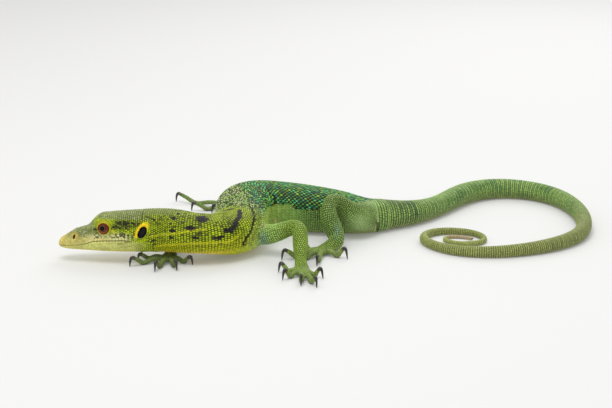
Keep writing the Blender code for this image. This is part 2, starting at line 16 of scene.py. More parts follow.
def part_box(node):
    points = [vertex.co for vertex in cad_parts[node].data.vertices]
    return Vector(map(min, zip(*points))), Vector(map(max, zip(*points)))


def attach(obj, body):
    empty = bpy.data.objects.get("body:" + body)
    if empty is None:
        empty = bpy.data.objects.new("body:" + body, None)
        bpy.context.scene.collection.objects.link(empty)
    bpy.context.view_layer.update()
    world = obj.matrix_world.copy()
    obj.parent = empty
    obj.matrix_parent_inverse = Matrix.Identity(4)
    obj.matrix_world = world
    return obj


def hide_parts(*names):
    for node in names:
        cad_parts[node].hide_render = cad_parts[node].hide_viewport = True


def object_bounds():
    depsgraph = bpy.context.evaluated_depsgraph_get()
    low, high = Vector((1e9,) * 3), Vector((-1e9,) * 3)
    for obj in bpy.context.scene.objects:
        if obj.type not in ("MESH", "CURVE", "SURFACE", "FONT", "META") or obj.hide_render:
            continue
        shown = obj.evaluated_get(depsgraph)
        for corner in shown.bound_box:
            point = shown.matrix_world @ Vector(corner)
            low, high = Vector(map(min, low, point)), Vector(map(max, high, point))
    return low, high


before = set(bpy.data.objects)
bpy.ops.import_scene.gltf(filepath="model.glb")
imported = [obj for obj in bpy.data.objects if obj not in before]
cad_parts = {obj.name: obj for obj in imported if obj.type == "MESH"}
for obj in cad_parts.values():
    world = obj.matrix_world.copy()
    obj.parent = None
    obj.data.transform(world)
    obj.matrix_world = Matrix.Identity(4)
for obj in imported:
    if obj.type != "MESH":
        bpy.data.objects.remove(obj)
CAD_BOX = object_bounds()

MM = 0.001
UP = np.array([0.0, 0.0, 1.0])
# How far the trunk's and tail's sections reach below the floor that flattens them, and how far a claw
# stands off its digit's end.
SINK = 0.35
CLAW_GAP = 0.32
# How deep the skin lies inside the solids, which leaves room for the scales.
COAT = 0.22

# The neck and trunk from the skull to the vent: x, y, half width, half height and clearance below.
BODY = (
    (-104.0, -39.43, 10.3, 11.6, 5.4),
    (-97.0, -39.55, 10.6, 11.8, 5.3), (-90.0, -40.0, 11.1, 11.7, 5.4),
    (-79.0, -42.0, 11.2, 11.2, 5.3), (-69.0, -41.2, 11.6, 10.7, 4.6),
    (-59.5, -35.8, 13.2, 11.6, 2.2), (-53.0, -26.5, 14.6, 12.6, 0.4),
    (-50.8, -15.0, 14.7, 13.6, -SINK), (-51.4, -1.5, 15.5, 14.95, -SINK),
    (-44.8, 11.4, 15.4, 15.2, -SINK), (-30.0, 16.2, 14.8, 14.3, -SINK),
    (-15.5, 15.3, 14.4, 13.5, -SINK), (-1.5, 12.9, 13.8, 12.65, -SINK),
    (11.0, 11.8, 12.8, 11.45, -SINK), (22.0, 13.1, 10.8, 9.9, -SINK),
)
BACK_ROUNDNESS = 2.4
BELLY_ROUNDNESS = 2.5
WIDEST_RISE = 0.13
RISE_STARTS = 26.0
RISE_FULL = 60.0

TAIL_ROUTE = (
    (30.8, 16.8), (42.3, 22.5), (60.0, 37.8), (72.5, 54.5), (86.0, 71.5), (108.0, 82.3), (127.5, 77.6),
    (141.0, 63.8), (148.4, 42.0), (148.8, 16.0), (141.1, -7.6), (128.0, -21.6), (113.0, -30.2),
    (97.5, -35.0), (81.5, -35.7), (66.6, -31.0), (56.0, -20.4), (52.6, -8.4), (57.8, 1.8), (69.0, 5.8),
    (80.4, 3.2), (87.0, -4.8), (85.6, -12.8), (77.4, -16.0), (68.4, -13.2), (64.8, -7.6), (68.2, -2.6),
    (75.4, -2.8), (81.2, -5.6),
)
TAIL_TIP = 1.05
TAIL_TAPER = 0.0161
TAIL_ROOT_FLARE = 1.3
TAIL_FLARE_LENGTH = 16.0
TAIL_WAIST = 0.95
TAIL_WAIST_AT = 38.0
TAIL_WAIST_LENGTH = 26.0
TAIL_TALLER = 1.05

# The head, measured back from the snout's tip. Each profile is a list of (distance, value).
HEAD_TIP = np.array([-151.0, -38.6])
HEAD_LENGTH = 54.0
HEAD_YAW = math.radians(-1.0)
HEAD_TOP = ((0, 10.3), (1.0, 12.0), (3.2, 13.6), (7.5, 16.3), (12.5, 18.6), (17.0, 20.1), (20.5, 24.0),
            (24.0, 26.4), (29.0, 27.1), (36.5, 27.7), (44.5, 28.3), (54.0, 28.6))
HEAD_BOTTOM = ((0, 8.4), (1.0, 7.6), (3.5, 6.8), (10.0, 6.3), (18.0, 6.0), (30.0, 5.6), (42.0, 5.4),
               (54.0, 5.2))
HEAD_WIDTH = ((0, 1.5), (1.0, 2.7), (3.5, 4.0), (9.0, 5.2), (14.0, 5.9), (20.0, 7.3), (26.5, 8.6),
              (35.0, 9.5), (44.0, 10.1), (54.0, 10.55))
HEAD_MIDDLE = ((0, 9.3), (9.0, 10.2), (18.0, 11.4), (27.0, 13.4), (38.0, 14.8), (54.0, 16.9))
HEAD_CROWN_ROUNDNESS = ((0, 2.0), (8.0, 2.3), (26.0, 2.7), (38.0, 2.6), (54.0, 2.15))
HEAD_CHIN_ROUNDNESS = ((0, 2.0), (8.0, 2.6), (30.0, 2.8), (54.0, 2.4))
HEAD_RELIEF = (
    ("brow", 25.5, 23.6, 5.5, 1.6, 0.75),
    ("below the eye", 27.5, 16.4, 5.0, 1.2, 0.35),
    ("in front of the eye", 18.2, 16.6, 3.4, 2.2, -0.75),
    ("nostril", 9.6, 14.2, 2.6, 1.8, 0.75),
    ("temple", 36.5, 21.8, 3.8, 2.2, -0.45),
    ("jaw muscle", 41.0, 16.0, 5.0, 3.0, 0.65),
    ("rim before the ear", 44.2, 19.0, 1.5, 3.6, 0.5),
    ("behind the ear", 52.0, 18.0, 2.4, 4.0, -0.35),
)
MOUTH_LINE = ((0, 9.1), (4.0, 9.2), (10.0, 9.6), (15.5, 10.6), (20.0, 12.3), (25.0, 13.1), (32.0, 13.5),
              (38.0, 13.8), (42.0, 13.3))
MOUTH_END = 41.5
EYE_AT = (26.2, 20.1)
EYE_RADIUS = 4.3
EYE_OUT = 5.1
LID_OPENING = 3.12
# The pupil and iris, in degrees from the gaze, and the faces round one ring of the ball.
PUPIL_EDGE = 19
IRIS_EDGE = 48
EYE_AROUND = 96
NOSTRIL_AT = (9.4, 14.3)
NOSTRIL_SIZE = (0.62, 1.25)
NOSTRIL_LEAN = math.radians(-12)
EAR_AT = (47.6, 18.6)
EAR_SIZE = (2.1, 3.45)
EAR_LEAN = math.radians(-27)

# Each limb's route from inside the body to the wrist or ankle: x, y, z and radius.
LIMBS = {
    "arm_left": ((-46.0, -24.0, 11.0, 6.4), (-37.0, -30.0, 11.4, 5.7), (-28.6, -34.8, 14.8, 4.9),
                 (-23.8, -36.8, 17.2, 4.45), (-19.3, -40.6, 18.2, 4.15), (-17.9, -46.9, 14.6, 4.3),
                 (-17.8, -54.0, 9.2, 3.8), (-17.6, -59.5, 5.0, 3.3)),
    "arm_right": ((-56.0, -16.0, 12.5, 5.4), (-64.0, -14.5, 13.0, 5.2), (-71.0, -14.0, 14.2, 4.6),
                  (-78.5, -15.2, 13.8, 4.4), (-83.4, -19.6, 10.2, 4.0), (-86.8, -24.8, 6.0, 3.4),
                  (-88.8, -30.6, 3.2, 2.7)),
    "leg_left": ((20.0, 6.5, 11.0, 8.0), (14.5, 0.6, 12.6, 7.8), (7.8, -3.0, 18.6, 5.7),
                 (3.8, -5.0, 22.6, 4.5), (-0.4, -8.9, 24.2, 4.0), (-2.0, -13.6, 21.2, 4.25),
                 (0.1, -19.4, 12.8, 5.2), (2.2, -24.6, 6.4, 4.4)),
    "leg_right": ((16.0, 15.0, 11.0, 8.0), (7.0, 24.5, 11.5, 7.4), (-2.0, 31.5, 12.2, 5.8),
                  (-13.0, 37.6, 12.6, 4.8), (-21.0, 41.5, 10.2, 4.9), (-31.0, 45.8, 7.4, 4.4),
                  (-41.0, 49.8, 4.9, 3.4)),
}
# Each foot: its limb, the middle of its palm, the palm's half width and half height, and then its digits from
# the inner one outwards: direction in degrees, reach to the claw, radius, and how high the claw starts.
FEET = {
    "hand_left": ("arm_left", (-16.8, -66.0, 2.4), 4.3, 2.5,
                  ((163, 11.0, 1.35, 5.2), (-140, 11.2, 1.4, 5.2), (-92, 15.6, 1.45, 5.2),
                   (-70, 19.8, 1.45, 5.2), (-30, 10.4, 1.3, 5.2))),
    "hand_right": ("arm_right", (-90.4, -43.0, 1.9), 4.1, 2.0,
                   ((172, 15.4, 1.3, 3.3), (-155, 20.0, 1.35, 4.8), (-107, 17.0, 1.4, 5.0),
                    (-70, 15.2, 1.4, 5.0), (-26, 13.2, 1.3, 4.4))),
    "foot_left": ("leg_left", (-6.0, -32.0, 2.6), 4.3, 2.7,
                  ((152, 10.5, 1.35, 5.2), (-156, 21.6, 1.5, 5.6), (-134, 17.0, 1.5, 5.2),
                   (-98, 18.2, 1.4, 5.2), (-30, 13.6, 1.4, 5.8))),
    "foot_right": ("leg_right", (-57.0, 54.4, 2.4), 4.2, 2.5,
                   ((-118, 10.0, 1.3, 5.0), (-154, 14.6, 1.35, 5.0), (-176, 25.5, 1.4, 5.2),
                    (155, 40.5, 1.35, 5.6), (92, 13.0, 1.35, 5.0))),
}
# A claw is this many times as long as its start is high.
CLAW_LENGTH = 1.42
CLAW_RADIUS = 1.15
CLAW_TIP = 0.14
CLAW_TIP_HEIGHT = -0.05
# How far a claw's curve runs back into its digit, the sides of its sections, and how they taper and narrow.
CLAW_BASE = 0.16
CLAW_SIDES = 14
CLAW_TAPER = 0.52
CLAW_NARROW = 0.92
PAD_HEIGHT = 0.86

# The camera, in the design frame, and the photograph's size in pixels.
CAMERA_AT = (-14.8, -796.2, 256.0)
CAMERA_PITCH = math.radians(16.5)
LENS = 85.0
SENSOR = 36.0
PHOTO_SIZE = (612, 408)

VOXEL = 0.72
# The lowest height of the joined strands, the skin, the claws and the scales.
CAST_FLOOR, SKIN_FLOOR, CLAW_FLOOR, SCALE_FLOOR = 0.06, 0.05, 0.03, 0.02
# How dark the ground between two scales is at most.
GAP_SHADE = 0.92
rng = np.random.default_rng(8102)


# Curves and sections


def profile(stations, at):
    """A smooth curve through (distance, value) stations, read at one distance or an array of them."""
    xs, ys = np.array(stations, float).T
    slopes = np.gradient(ys, xs)
    at = np.clip(np.asarray(at, float), xs[0], xs[-1])
    k = np.clip(np.searchsorted(xs, at) - 1, 0, len(xs) - 2)
    width = xs[k + 1] - xs[k]
    t = (at - xs[k]) / width
    return (ys[k] * (1 + 2 * t) * (1 - t) ** 2 + ys[k + 1] * t * t * (3 - 2 * t)
            + slopes[k] * width * t * (1 - t) ** 2 - slopes[k + 1] * width * t * t * (1 - t))


def natural_cubic(knots, values, at):
    """The natural cubic spline through the values at the knots."""
    count = len(knots)
    h = np.diff(knots)
    matrix = np.eye(count)
    right = np.zeros(count)
    for k in range(1, count - 1):
        matrix[k, k - 1 : k + 2] = h[k - 1], 2 * (h[k - 1] + h[k]), h[k]
        right[k] = 3 * ((values[k + 1] - values[k]) / h[k] - (values[k] - values[k - 1]) / h[k - 1])
    c = np.linalg.solve(matrix, right)
    b = np.diff(values) / h - h * (2 * c[:-1] + c[1:]) / 3
    d = np.diff(c) / (3 * h)
    k = np.clip(np.searchsorted(knots, at) - 1, 0, count - 2)
    t = at - knots[k]
    return values[k] + t * (b[k] + t * (c[k] + t * d[k]))


class Route:
    """A smooth curve through points, measured by its length, that also carries other values."""

    def __init__(self, points):
        points = np.array(points, float)
        knots = self.run_along(points)
        fine = np.linspace(0, knots[-1], 1200)
        self.values = np.stack([natural_cubic(knots, column, fine) for column in points.T], axis=1)
        self.lengths = self.run_along(self.values)
        self.knots = np.interp(knots, fine, self.lengths)
        self.length = self.lengths[-1]

    @staticmethod
    def run_along(points):
        steps = np.linalg.norm(np.diff(points[:, :3], axis=0), axis=1)
        return np.concatenate([[0], np.cumsum(steps)])

    def at(self, where):
        return np.array([np.interp(where, self.lengths, column) for column in self.values.T]).T


def superellipse(sides, half_width, top, bottom, crown, belly):
    """Points (across, up) round a section, from the top, with its own roundness above and below."""
    angles = 2 * math.pi * (np.arange(sides) + 0.5) / sides
    sine, cosine = np.sin(angles), np.cos(angles)
    power = np.where(cosine > 0, 2 / crown, 2 / belly)
    across = half_width * np.sign(sine) * np.abs(sine) ** power
    upward = np.where(cosine > 0, top, bottom) * np.sign(cosine) * np.abs(cosine) ** power
    return np.stack([across, upward], axis=1)


def smoothstep(low, high, value):
    t = np.clip((np.asarray(value, float) - low) / (high - low), 0, 1)
    return t * t * (3 - 2 * t)


def bell(value, spread):
    return np.exp(-((np.asarray(value, float) / spread) ** 2))


# The head's own frame

HEAD_BACK = np.array([math.cos(HEAD_YAW), math.sin(HEAD_YAW), 0.0])
HEAD_LEFT = np.array([HEAD_BACK[1], -HEAD_BACK[0], 0.0])
HEAD_ORIGIN = np.array([*HEAD_TIP, 0.0])


def head_point(along, out, height):
    return HEAD_ORIGIN + along * HEAD_BACK + out * HEAD_LEFT + height * UP


def head_coordinates(points):
    """Distance back from the tip, distance to the animal's left, and height."""
    away = points - HEAD_ORIGIN
    return away @ HEAD_BACK, away @ HEAD_LEFT, away[:, 2]


def design_shift():
    """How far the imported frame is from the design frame, read from the two eyes' boxes."""
    eyes = [sum(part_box(name), Vector()) / 2 / MM for name in ("eye_left", "eye_right")]
    found = (eyes[0] + eyes[1]) / 2
    drawn = head_point(EYE_AT[0], 0, EYE_AT[1])
    return np.array([drawn[0] - found.x, drawn[1] - found.y, 0.0])


SHIFT = design_shift()


def place(points):
    """Design millimetres into the frame's metres."""
    return (np.asarray(points, float) - SHIFT) * MM


LOW, HIGH = (np.array(corner, float) for corner in CAD_BOX)


def seat(points):
    """Placed points, kept just inside the solids' own box."""
    return np.clip(place(points), LOW + 1e-5, HIGH - 1e-5)


# The strands: head, body, tail, limbs and digits, each a row of sections


def tail_length():
    points = np.array(TAIL_ROUTE)
    return float(np.linalg.norm(np.diff(points, axis=0), axis=1).sum()) * 1.012


def tail_half_height(along):
    left = np.maximum(tail_length() - along, 0)
    waist = TAIL_WAIST * np.exp(-(((along - TAIL_WAIST_AT) / TAIL_WAIST_LENGTH) ** 2))
    return TAIL_TIP + TAIL_TAPER * left + TAIL_ROOT_FLARE * np.exp(-along / TAIL_FLARE_LENGTH) - waist


class Strand:
    """One tube of flesh: its sections, and the way from a point on it to (along, round)."""

    def __init__(self, name, kind, where, centres, sides, rises, outlines):
        self.name, self.kind, self.where = name, kind, where
        self.centres, self.sides, self.rises = centres, sides, rises
        self.outlines = outlines
        self.ahead = np.gradient(centres, axis=0)
        self.ahead /= np.linalg.norm(self.ahead, axis=1, keepdims=True)
        steps = np.linalg.norm(np.diff(np.concatenate([outlines, outlines[:, :1]], axis=1), axis=1), axis=2)
        self.girth = steps.sum(axis=1)

    def rings(self):
        return (self.centres[:, None] + self.outlines[:, :, :1] * self.sides[:, None]
                + self.outlines[:, :, 1:] * self.rises[:, None])

    def section(self, where):
        """(centre, side, rise, way ahead, outline) at a section index that may lie between two."""
        where = float(np.clip(where, 0, len(self.centres) - 1.001))
        k = int(where)
        t = where - k
        return [(1 - t) * row[k] + t * row[k + 1]
                for row in (self.centres, self.sides, self.rises, self.ahead, self.outlines)]

    def ring(self, where):
        centre, side, rise, _, outline = self.section(where)
        return centre + outline[:, :1] * side + outline[:, 1:] * rise

    def locate(self, points):
        """(section index as a float, angle round from the top towards the animal's left) of points."""
        best = np.zeros(len(points), int)
        for start in range(0, len(points), 4000):
            part = points[start : start + 4000]
            gaps = ((part[:, None] - self.centres[None]) ** 2).sum(axis=2)
            best[start : start + 4000] = gaps.argmin(axis=1)
        away = points - self.centres[best]
        pitch = np.linalg.norm(np.gradient(self.centres, axis=0), axis=1)[best]
        fine = best + np.clip((away * self.ahead[best]).sum(axis=1) / pitch, -0.6, 0.6)
        turn = np.arctan2((away * self.sides[best]).sum(axis=1), (away * self.rises[best]).sum(axis=1))
        return fine, turn

    def along(self, fine):
        return np.interp(fine, np.arange(len(self.where)), self.where)


def level_strand(name, route, where, half_sizes, rises_by, crown, belly):
    """A strand whose sections stand upright over a route on the floor."""
    values = route.at(where)
    ahead = np.gradient(values[:, :2], axis=0)
    ahead /= np.linalg.norm(ahead, axis=1, keepdims=True)
    # The animal's left lies to the left of a route that runs backwards from the head.
    left = np.stack([ahead[:, 1], -ahead[:, 0], np.zeros(len(ahead))], axis=1)
    wide, high, middle = half_sizes
    centres = np.stack([values[:, 0], values[:, 1], middle + rises_by], axis=1)
    outlines = np.array([superellipse(72, w, h - r, h + r, crown, belly)
                         for w, h, r in zip(wide, high, rises_by)])
    outlines[:, :, 1] = np.maximum(outlines[:, :, 1], (COAT * 0.3 - centres[:, 2])[:, None])
    return Strand(name, name, where, centres, left, np.tile(UP, (len(where), 1)), outlines)


def body_strand():
    rows = [(x, y, high + clear, wide, high) for x, y, wide, high, clear in BODY]
    root = tail_half_height(0.0)
    rows.append((*TAIL_ROUTE[0], root - SINK, root / TAIL_TALLER, root))
    route = Route(rows)
    where = np.linspace(0, route.length, 420)
    values = route.at(where)
    high = values[:, 4]
    rise = WIDEST_RISE * high * np.clip((where - RISE_STARTS) / (RISE_FULL - RISE_STARTS), 0, 1)
    rise = rise * np.clip((route.length - where) / RISE_FULL, 0, 1)
    return level_strand("body", route, where, (values[:, 3] - COAT, high - COAT, values[:, 2]), rise,
                        BACK_ROUNDNESS, BELLY_ROUNDNESS)


def tail_strand():
    route = Route(TAIL_ROUTE)
    where = np.linspace(0, route.length, 900)
    high = tail_half_height(where)
    sink = np.minimum(SINK, 0.12 * high)
    coat = np.minimum(COAT, 0.1 * high)
    return level_strand("tail", route, where, (high / TAIL_TALLER - coat, high - coat, high - sink),
                        np.zeros(len(where)), 2.0, 2.1)


def head_sections():
    """The head's smooth surface before its eyes, mouth and nostrils."""
    where = np.concatenate([[0.05, 0.3, 0.7, 1.1, 1.6, 2.1], np.linspace(2.7, HEAD_LENGTH + 3, 160)])
    rows = []
    for s in where:
        middle = float(profile(HEAD_MIDDLE, s))
        wide = float(profile(HEAD_WIDTH, s))
        outline = superellipse(120, wide - COAT * 0.7, profile(HEAD_TOP, s) - middle - COAT * 0.7,
                               middle - profile(HEAD_BOTTOM, s) - COAT * 0.7,
                               profile(HEAD_CROWN_ROUNDNESS, s), profile(HEAD_CHIN_ROUNDNESS, s))
        height = middle + outline[:, 1]
        relief = sum(out * bell(s - a, spread_a) * bell(height - h, spread_h)
                     for _, a, h, spread_a, spread_h, out in HEAD_RELIEF)
        outline[:, 0] += np.sign(outline[:, 0]) * relief * np.minimum(1, 1.4 * np.abs(outline[:, 0]) / wide)
        rows.append((head_point(s, 0, middle), outline))
    centres = np.array([row[0] for row in rows])
    outlines = np.array([row[1] for row in rows])
    count = len(where)
    sides, rises = np.tile(HEAD_LEFT, (count, 1)), np.tile(UP, (count, 1))
    return Strand("head", "head", where, centres, sides, rises, outlines)


def round_strand(name, kind, route, start, end, coat, sections, sides=40):
    """A strand whose sections are square to a route in space."""
    where = np.linspace(start, end, sections)
    values = route.at(where)
    centres = values[:, :3]
    ahead = np.gradient(centres, axis=0)
    ahead /= np.linalg.norm(ahead, axis=1, keepdims=True)
    side = np.cross(ahead, UP)
    side /= np.linalg.norm(side, axis=1, keepdims=True)
    rise = np.cross(side, ahead)
    outlines = np.array([superellipse(sides, w - coat, h - coat, h - coat, 2.0, 2.4)
                         for w, h in values[:, 3:5]])
    return Strand(name, kind, where, centres, side, rise, outlines)


def limb_strands():
    found = {}
    for foot, (limb, palm, wide, high, digits) in FEET.items():
        rows = [(x, y, z, r, r) for x, y, z, r in LIMBS[limb]]
        heading = np.array(palm[:2]) - np.array(rows[-1][:2])
        heading /= np.linalg.norm(heading)
        rows.append((*palm, wide, high))
        end = np.array(palm[:2]) + 3.2 * heading
        rows.append((*end, palm[2] * 0.82, wide * 0.8, high * 0.8))
        route = Route(rows)
        found[limb] = round_strand(limb, "limb", route, 0.1, route.length - 0.05, COAT, 150)
        for number, (angle, reach, radius, rise) in enumerate(digits, 1):
            digit = digit_route(palm, angle, reach, radius, rise)
            name = f"{foot}_{number}"
            found[name] = round_strand(name, "digit", digit, 0.1, digit.length, COAT * 0.4, 50, 24)
    return found


def digit_route(palm, angle, reach, radius, rise):
    """One digit: out of the palm, down to its pad, and up to the root of its claw."""
    a = math.radians(angle)
    out = np.array([math.cos(a), math.sin(a)])
    rows = []
    for share, height, thick in ((0.0, palm[2], 1.15), (0.3, palm[2] + 0.5, 1.15),
                                 (0.55, 1.6 + radius * 0.5, 1.0), (0.72, radius * PAD_HEIGHT, 1.0),
                                 (0.86, 0.5 * (radius + rise), 0.95), (1.0, rise, 0.8)):
        x, y = np.array(palm[:2]) + out * reach * share
        rows.append((x, y, height, radius * thick, radius * thick))
    return Route(rows)


def tube_mesh(rings, first=0):
    """Faces of a closed tube through rings, as quads and two fans."""
    count, sides = rings.shape[:2]
    k, j = np.meshgrid(np.arange(count - 1), np.arange(sides), indexing="ij")
    after = (j + 1) % sides
    quads = np.stack([k * sides + j, k * sides + after,
                      (k + 1) * sides + after, (k + 1) * sides + j], axis=-1)
    faces = [tuple(face) for face in (quads.reshape(-1, 4) + first).tolist()]
    faces.append(tuple(range(first + sides - 1, first - 1, -1)))
    faces.append(tuple(range(first + (count - 1) * sides, first + count * sides)))
    return faces


def new_object(name, points, faces):
    data = bpy.data.meshes.new(name)
    data.from_pydata(points.tolist(), [], faces)
    made = bpy.data.objects.new(name, data)
    bpy.context.scene.collection.objects.link(made)
    return made


def strand_index(strands, name):
    return next(k for k, s in enumerate(strands) if s.name == name)


# The skin


def raw_skin(strands):
    """All the strands joined into one closed surface by a voxel remesh, in design millimetres."""
    points, faces, owner = [], [], []
    first = 0
    for index, strand in enumerate(strands):
        rings = strand.rings()
        rings[..., 2] = np.maximum(rings[..., 2], CAST_FLOOR)
        points.append(rings.reshape(-1, 3))
        made = tube_mesh(rings, first)
        faces += made
        owner += [index] * len(made)
        first += rings.shape[0] * rings.shape[1]
    points = np.concatenate(points)
    tree = BVHTree.FromPolygons([tuple(p) for p in points], faces)
    body = new_object("skin_cast", points * MM, faces)
    bm = bmesh.new()
    bm.from_mesh(body.data)
    bmesh.ops.recalc_face_normals(bm, faces=bm.faces)
    bm.to_mesh(body.data)
    bm.free()
    remesh = body.modifiers.new("remesh", "REMESH")
    remesh.mode = "VOXEL"
    remesh.voxel_size = VOXEL * MM
    bpy.context.view_layer.update()
    data = bpy.data.meshes.new_from_object(body.evaluated_get(bpy.context.evaluated_depsgraph_get()))
    bpy.data.objects.remove(body, do_unlink=True)
    return data, tree, np.array(owner)


def set_points(data, placed):
    data.vertices.foreach_set("co", placed.reshape(-1))
    data.update()


def mesh_points(data):
    points = np.empty(len(data.vertices) * 3)
    data.vertices.foreach_get("co", points)
    return points.reshape(-1, 3)


def mesh_edges(data):
    edges = np.empty(len(data.edges) * 2, np.int32)
    data.edges.foreach_get("vertices", edges)
    return edges.reshape(-1, 2)


def smooth_values(values, edges, rounds, amount=0.5, mask=None):
    """Values at the points, each moved part of the way to the average of its neighbours."""
    values = np.array(values, float)
    flat = values.ndim == 1
    if flat:
        values = values[:, None]
    count = np.bincount(edges.reshape(-1), minlength=len(values))[:, None]
    weight = amount if mask is None else amount * mask[:, None]
    for _ in range(rounds):
        total = np.zeros_like(values)
        for column in range(values.shape[1]):
            total[:, column] = (np.bincount(edges[:, 0], values[edges[:, 1], column], len(values))
                                + np.bincount(edges[:, 1], values[edges[:, 0], column], len(values)))
        values = values + weight * (total / np.maximum(count, 1) - values)
    return values[:, 0] if flat else values


def fair(points, edges, rounds, mask=None):
    """Smooths without shrinking, by turns of in and out."""
    for _ in range(rounds):
        points = smooth_values(points, edges, 1, 0.5, mask)
        points = smooth_values(points, edges, 1, -0.52, mask)
    return points


def refine(data, chosen):
    """Splits the chosen faces' edges once, and leaves triangles and quads."""
    bm = bmesh.new()
    bm.from_mesh(data)
    bm.verts.ensure_lookup_table()
    bm.faces.ensure_lookup_table()
    edges = {edge for face in bm.faces if chosen[face.index] for edge in face.edges}
    bmesh.ops.subdivide_edges(bm, edges=list(edges), cuts=1, use_grid_fill=True)
    wide = [face for face in bm.faces if len(face.verts) > 4]
    bmesh.ops.triangulate(bm, faces=wide)
    bm.to_mesh(data)
    bm.free()


def face_middles(data):
    middles = np.empty(len(data.polygons) * 3)
    data.polygons.foreach_get("center", middles)
    return middles.reshape(-1, 3)


def vertex_normals(data):
    normals = np.empty(len(data.vertices) * 3, np.float32)
    data.vertex_normals.foreach_get("vector", normals)
    return normals.reshape(-1, 3).astype(float)


def owners_of(points, tree, owner):
    """The strand that each point lies on."""
    found = np.zeros(len(points), int)
    for k, point in enumerate(points):
        _, _, face, _ = tree.find_nearest(Vector(point))
        found[k] = owner[face]
    return found


def side_frame(a, h, at, lean):
    """Coordinates across and along a leaning oval on the head's side."""
    x, y = a - at[0], h - at[1]
    return x * math.cos(lean) + y * math.sin(lean), y * math.cos(lean) - x * math.sin(lean)


def head_masks(points):
    """Where the openings of the head are: shares from 0 to 1 at each point."""
    a, o, h = head_coordinates(points)
    side = np.abs(o)
    eye = np.hypot(a - EYE_AT[0], h - EYE_AT[1])
    on_side = smoothstep(3.0, 5.0, side)
    ex, ey = side_frame(a, h, EAR_AT, EAR_LEAN)
    ear = np.hypot(ex / EAR_SIZE[0], ey / EAR_SIZE[1])
    nx, ny = side_frame(a, h, NOSTRIL_AT, NOSTRIL_LEAN)
    nostril = np.hypot(nx / NOSTRIL_SIZE[0], ny / NOSTRIL_SIZE[1])
    mouth = h - profile(MOUTH_LINE, a)
    near = (a < HEAD_LENGTH + 4) & (a > -1)
    return {"a": a, "o": o, "h": h, "eye": np.where(near & (side > 3), eye, 99), "on_side": on_side,
            "ear": np.where(near & (side > 5), ear, 99),
            "nostril": np.where(near & (side > 1.5), nostril, 99),
            "mouth": np.where(near & (a < MOUTH_END + 1), mouth, 99), "near": near}


def jaw_crease(a, h):
    """The crease that rises behind the mouth's corner, as a share from 0 to 1."""
    ends = smoothstep(31.5, 34, a) * smoothstep(45, 41, a)
    return (bell(h - 11.2 - 0.28 * (a - 33), 0.34) + 0.6 * bell(h - 9.6 - 0.22 * (a - 36), 0.3)) * ends


def carve_head(points, normals):
    """Lids, eye sockets, nostrils, ears, the line of the mouth and its lips, and the jaw's crease."""
    m = head_masks(points)
    a, o, h = m["a"], m["o"], m["h"]
    push = np.zeros(len(points))
    fade = smoothstep(MOUTH_END + 0.6, MOUTH_END - 3.5, a)
    push -= (0.14 + 0.32 * smoothstep(10, 24, a)) * bell(m["mouth"], 0.26) * fade
    push += 0.16 * (bell(m["mouth"] - 0.8, 0.5) + bell(m["mouth"] + 0.85, 0.5)) * fade
    push -= 0.26 * jaw_crease(a, h) * m["on_side"]
    push -= 0.9 * smoothstep(1.35, 0.5, m["nostril"])
    push += 0.3 * bell(m["nostril"] - 2.1, 0.8)
    push -= 1.7 * smoothstep(1.08, 0.62, m["ear"])
    ex, ey = side_frame(a, h, EAR_AT, EAR_LEAN)
    front = smoothstep(0.6, -0.6, ex - 0.25 * ey)
    push += (0.12 + 0.5 * front) * bell(m["ear"] - 1.28, 0.22)
    ridge = h - (16.2 + 0.33 * (a - 10))
    push += 0.22 * bell(ridge, 0.7) * smoothstep(9, 12, a) * smoothstep(23, 19, a)
    push = np.where(m["near"], push, 0)
    moved = points + normals * push[:, None]
    # Round the eye the surface is set square to the head: a lid's ring on the ball, and a socket behind it.
    r = m["eye"]
    ball = EYE_OUT + np.sqrt(np.maximum((EYE_RADIUS + 0.02) ** 2 - r**2, 0.3))
    upper = smoothstep(-1.5, 2.5, h - EYE_AT[1])
    lid = ball + 0.2 + 0.16 * upper + 0.2 * bell(r - LID_OPENING - 0.42, 0.32) - 0.9 * smoothstep(4.2, 5.4, r)
    socket = ball - 1.1
    out = np.abs(o)
    level = np.maximum(out + push, lid)
    fold = bell(r - LID_OPENING - 1.35, 0.26)
    level = level - 0.26 * fold
    inside = smoothstep(LID_OPENING - 0.32, LID_OPENING + 0.1, r)
    level = np.where(r < LID_OPENING + 0.1, socket + (level - socket) * inside, level)
    share = smoothstep(5.6, 4.9, r)
    moved += ((level - out) * share * np.sign(o))[:, None] * HEAD_LEFT
    return moved


def skin_lines():
    """The folds and marks that follow lines on the body, each a row of points in the photo's pixels."""
    return {
        "gular": ((249.5, 204.8), (253, 211.1), (254.8, 218.2), (253, 226.3), (249.5, 234.3), (245, 241.4),
                  (244.1, 245.9)),
        "short": ((257.3, 203), (260.4, 206.2), (262.7, 210.2)),
        "chevron": ((239.6, 210.2), (238.8, 217.3), (235.2, 224.5), (232.5, 229.8)),
        "lobe": ((233, 227.6), (229.2, 229.4), (225.6, 230.4)),
        "blob": ((215.2, 237.8), (218.2, 237.4), (221, 237)),
        "axilla": ((275.3, 219.8), (275.7, 222.2), (275.4, 224.8)),
        "vent": ((371.5, 213), (375, 219.5), (377.5, 226), (377, 230.5)),
        "upper stripe": ((144.1, 236.5), (164.6, 234.7), (193.2, 230.7), (205, 229.6)),
        "lower stripe": ((137.9, 249.5), (164.6, 245.4), (191.4, 243.7), (218.2, 242.8), (231.6, 241),
                         (239.6, 234.3)),
    }


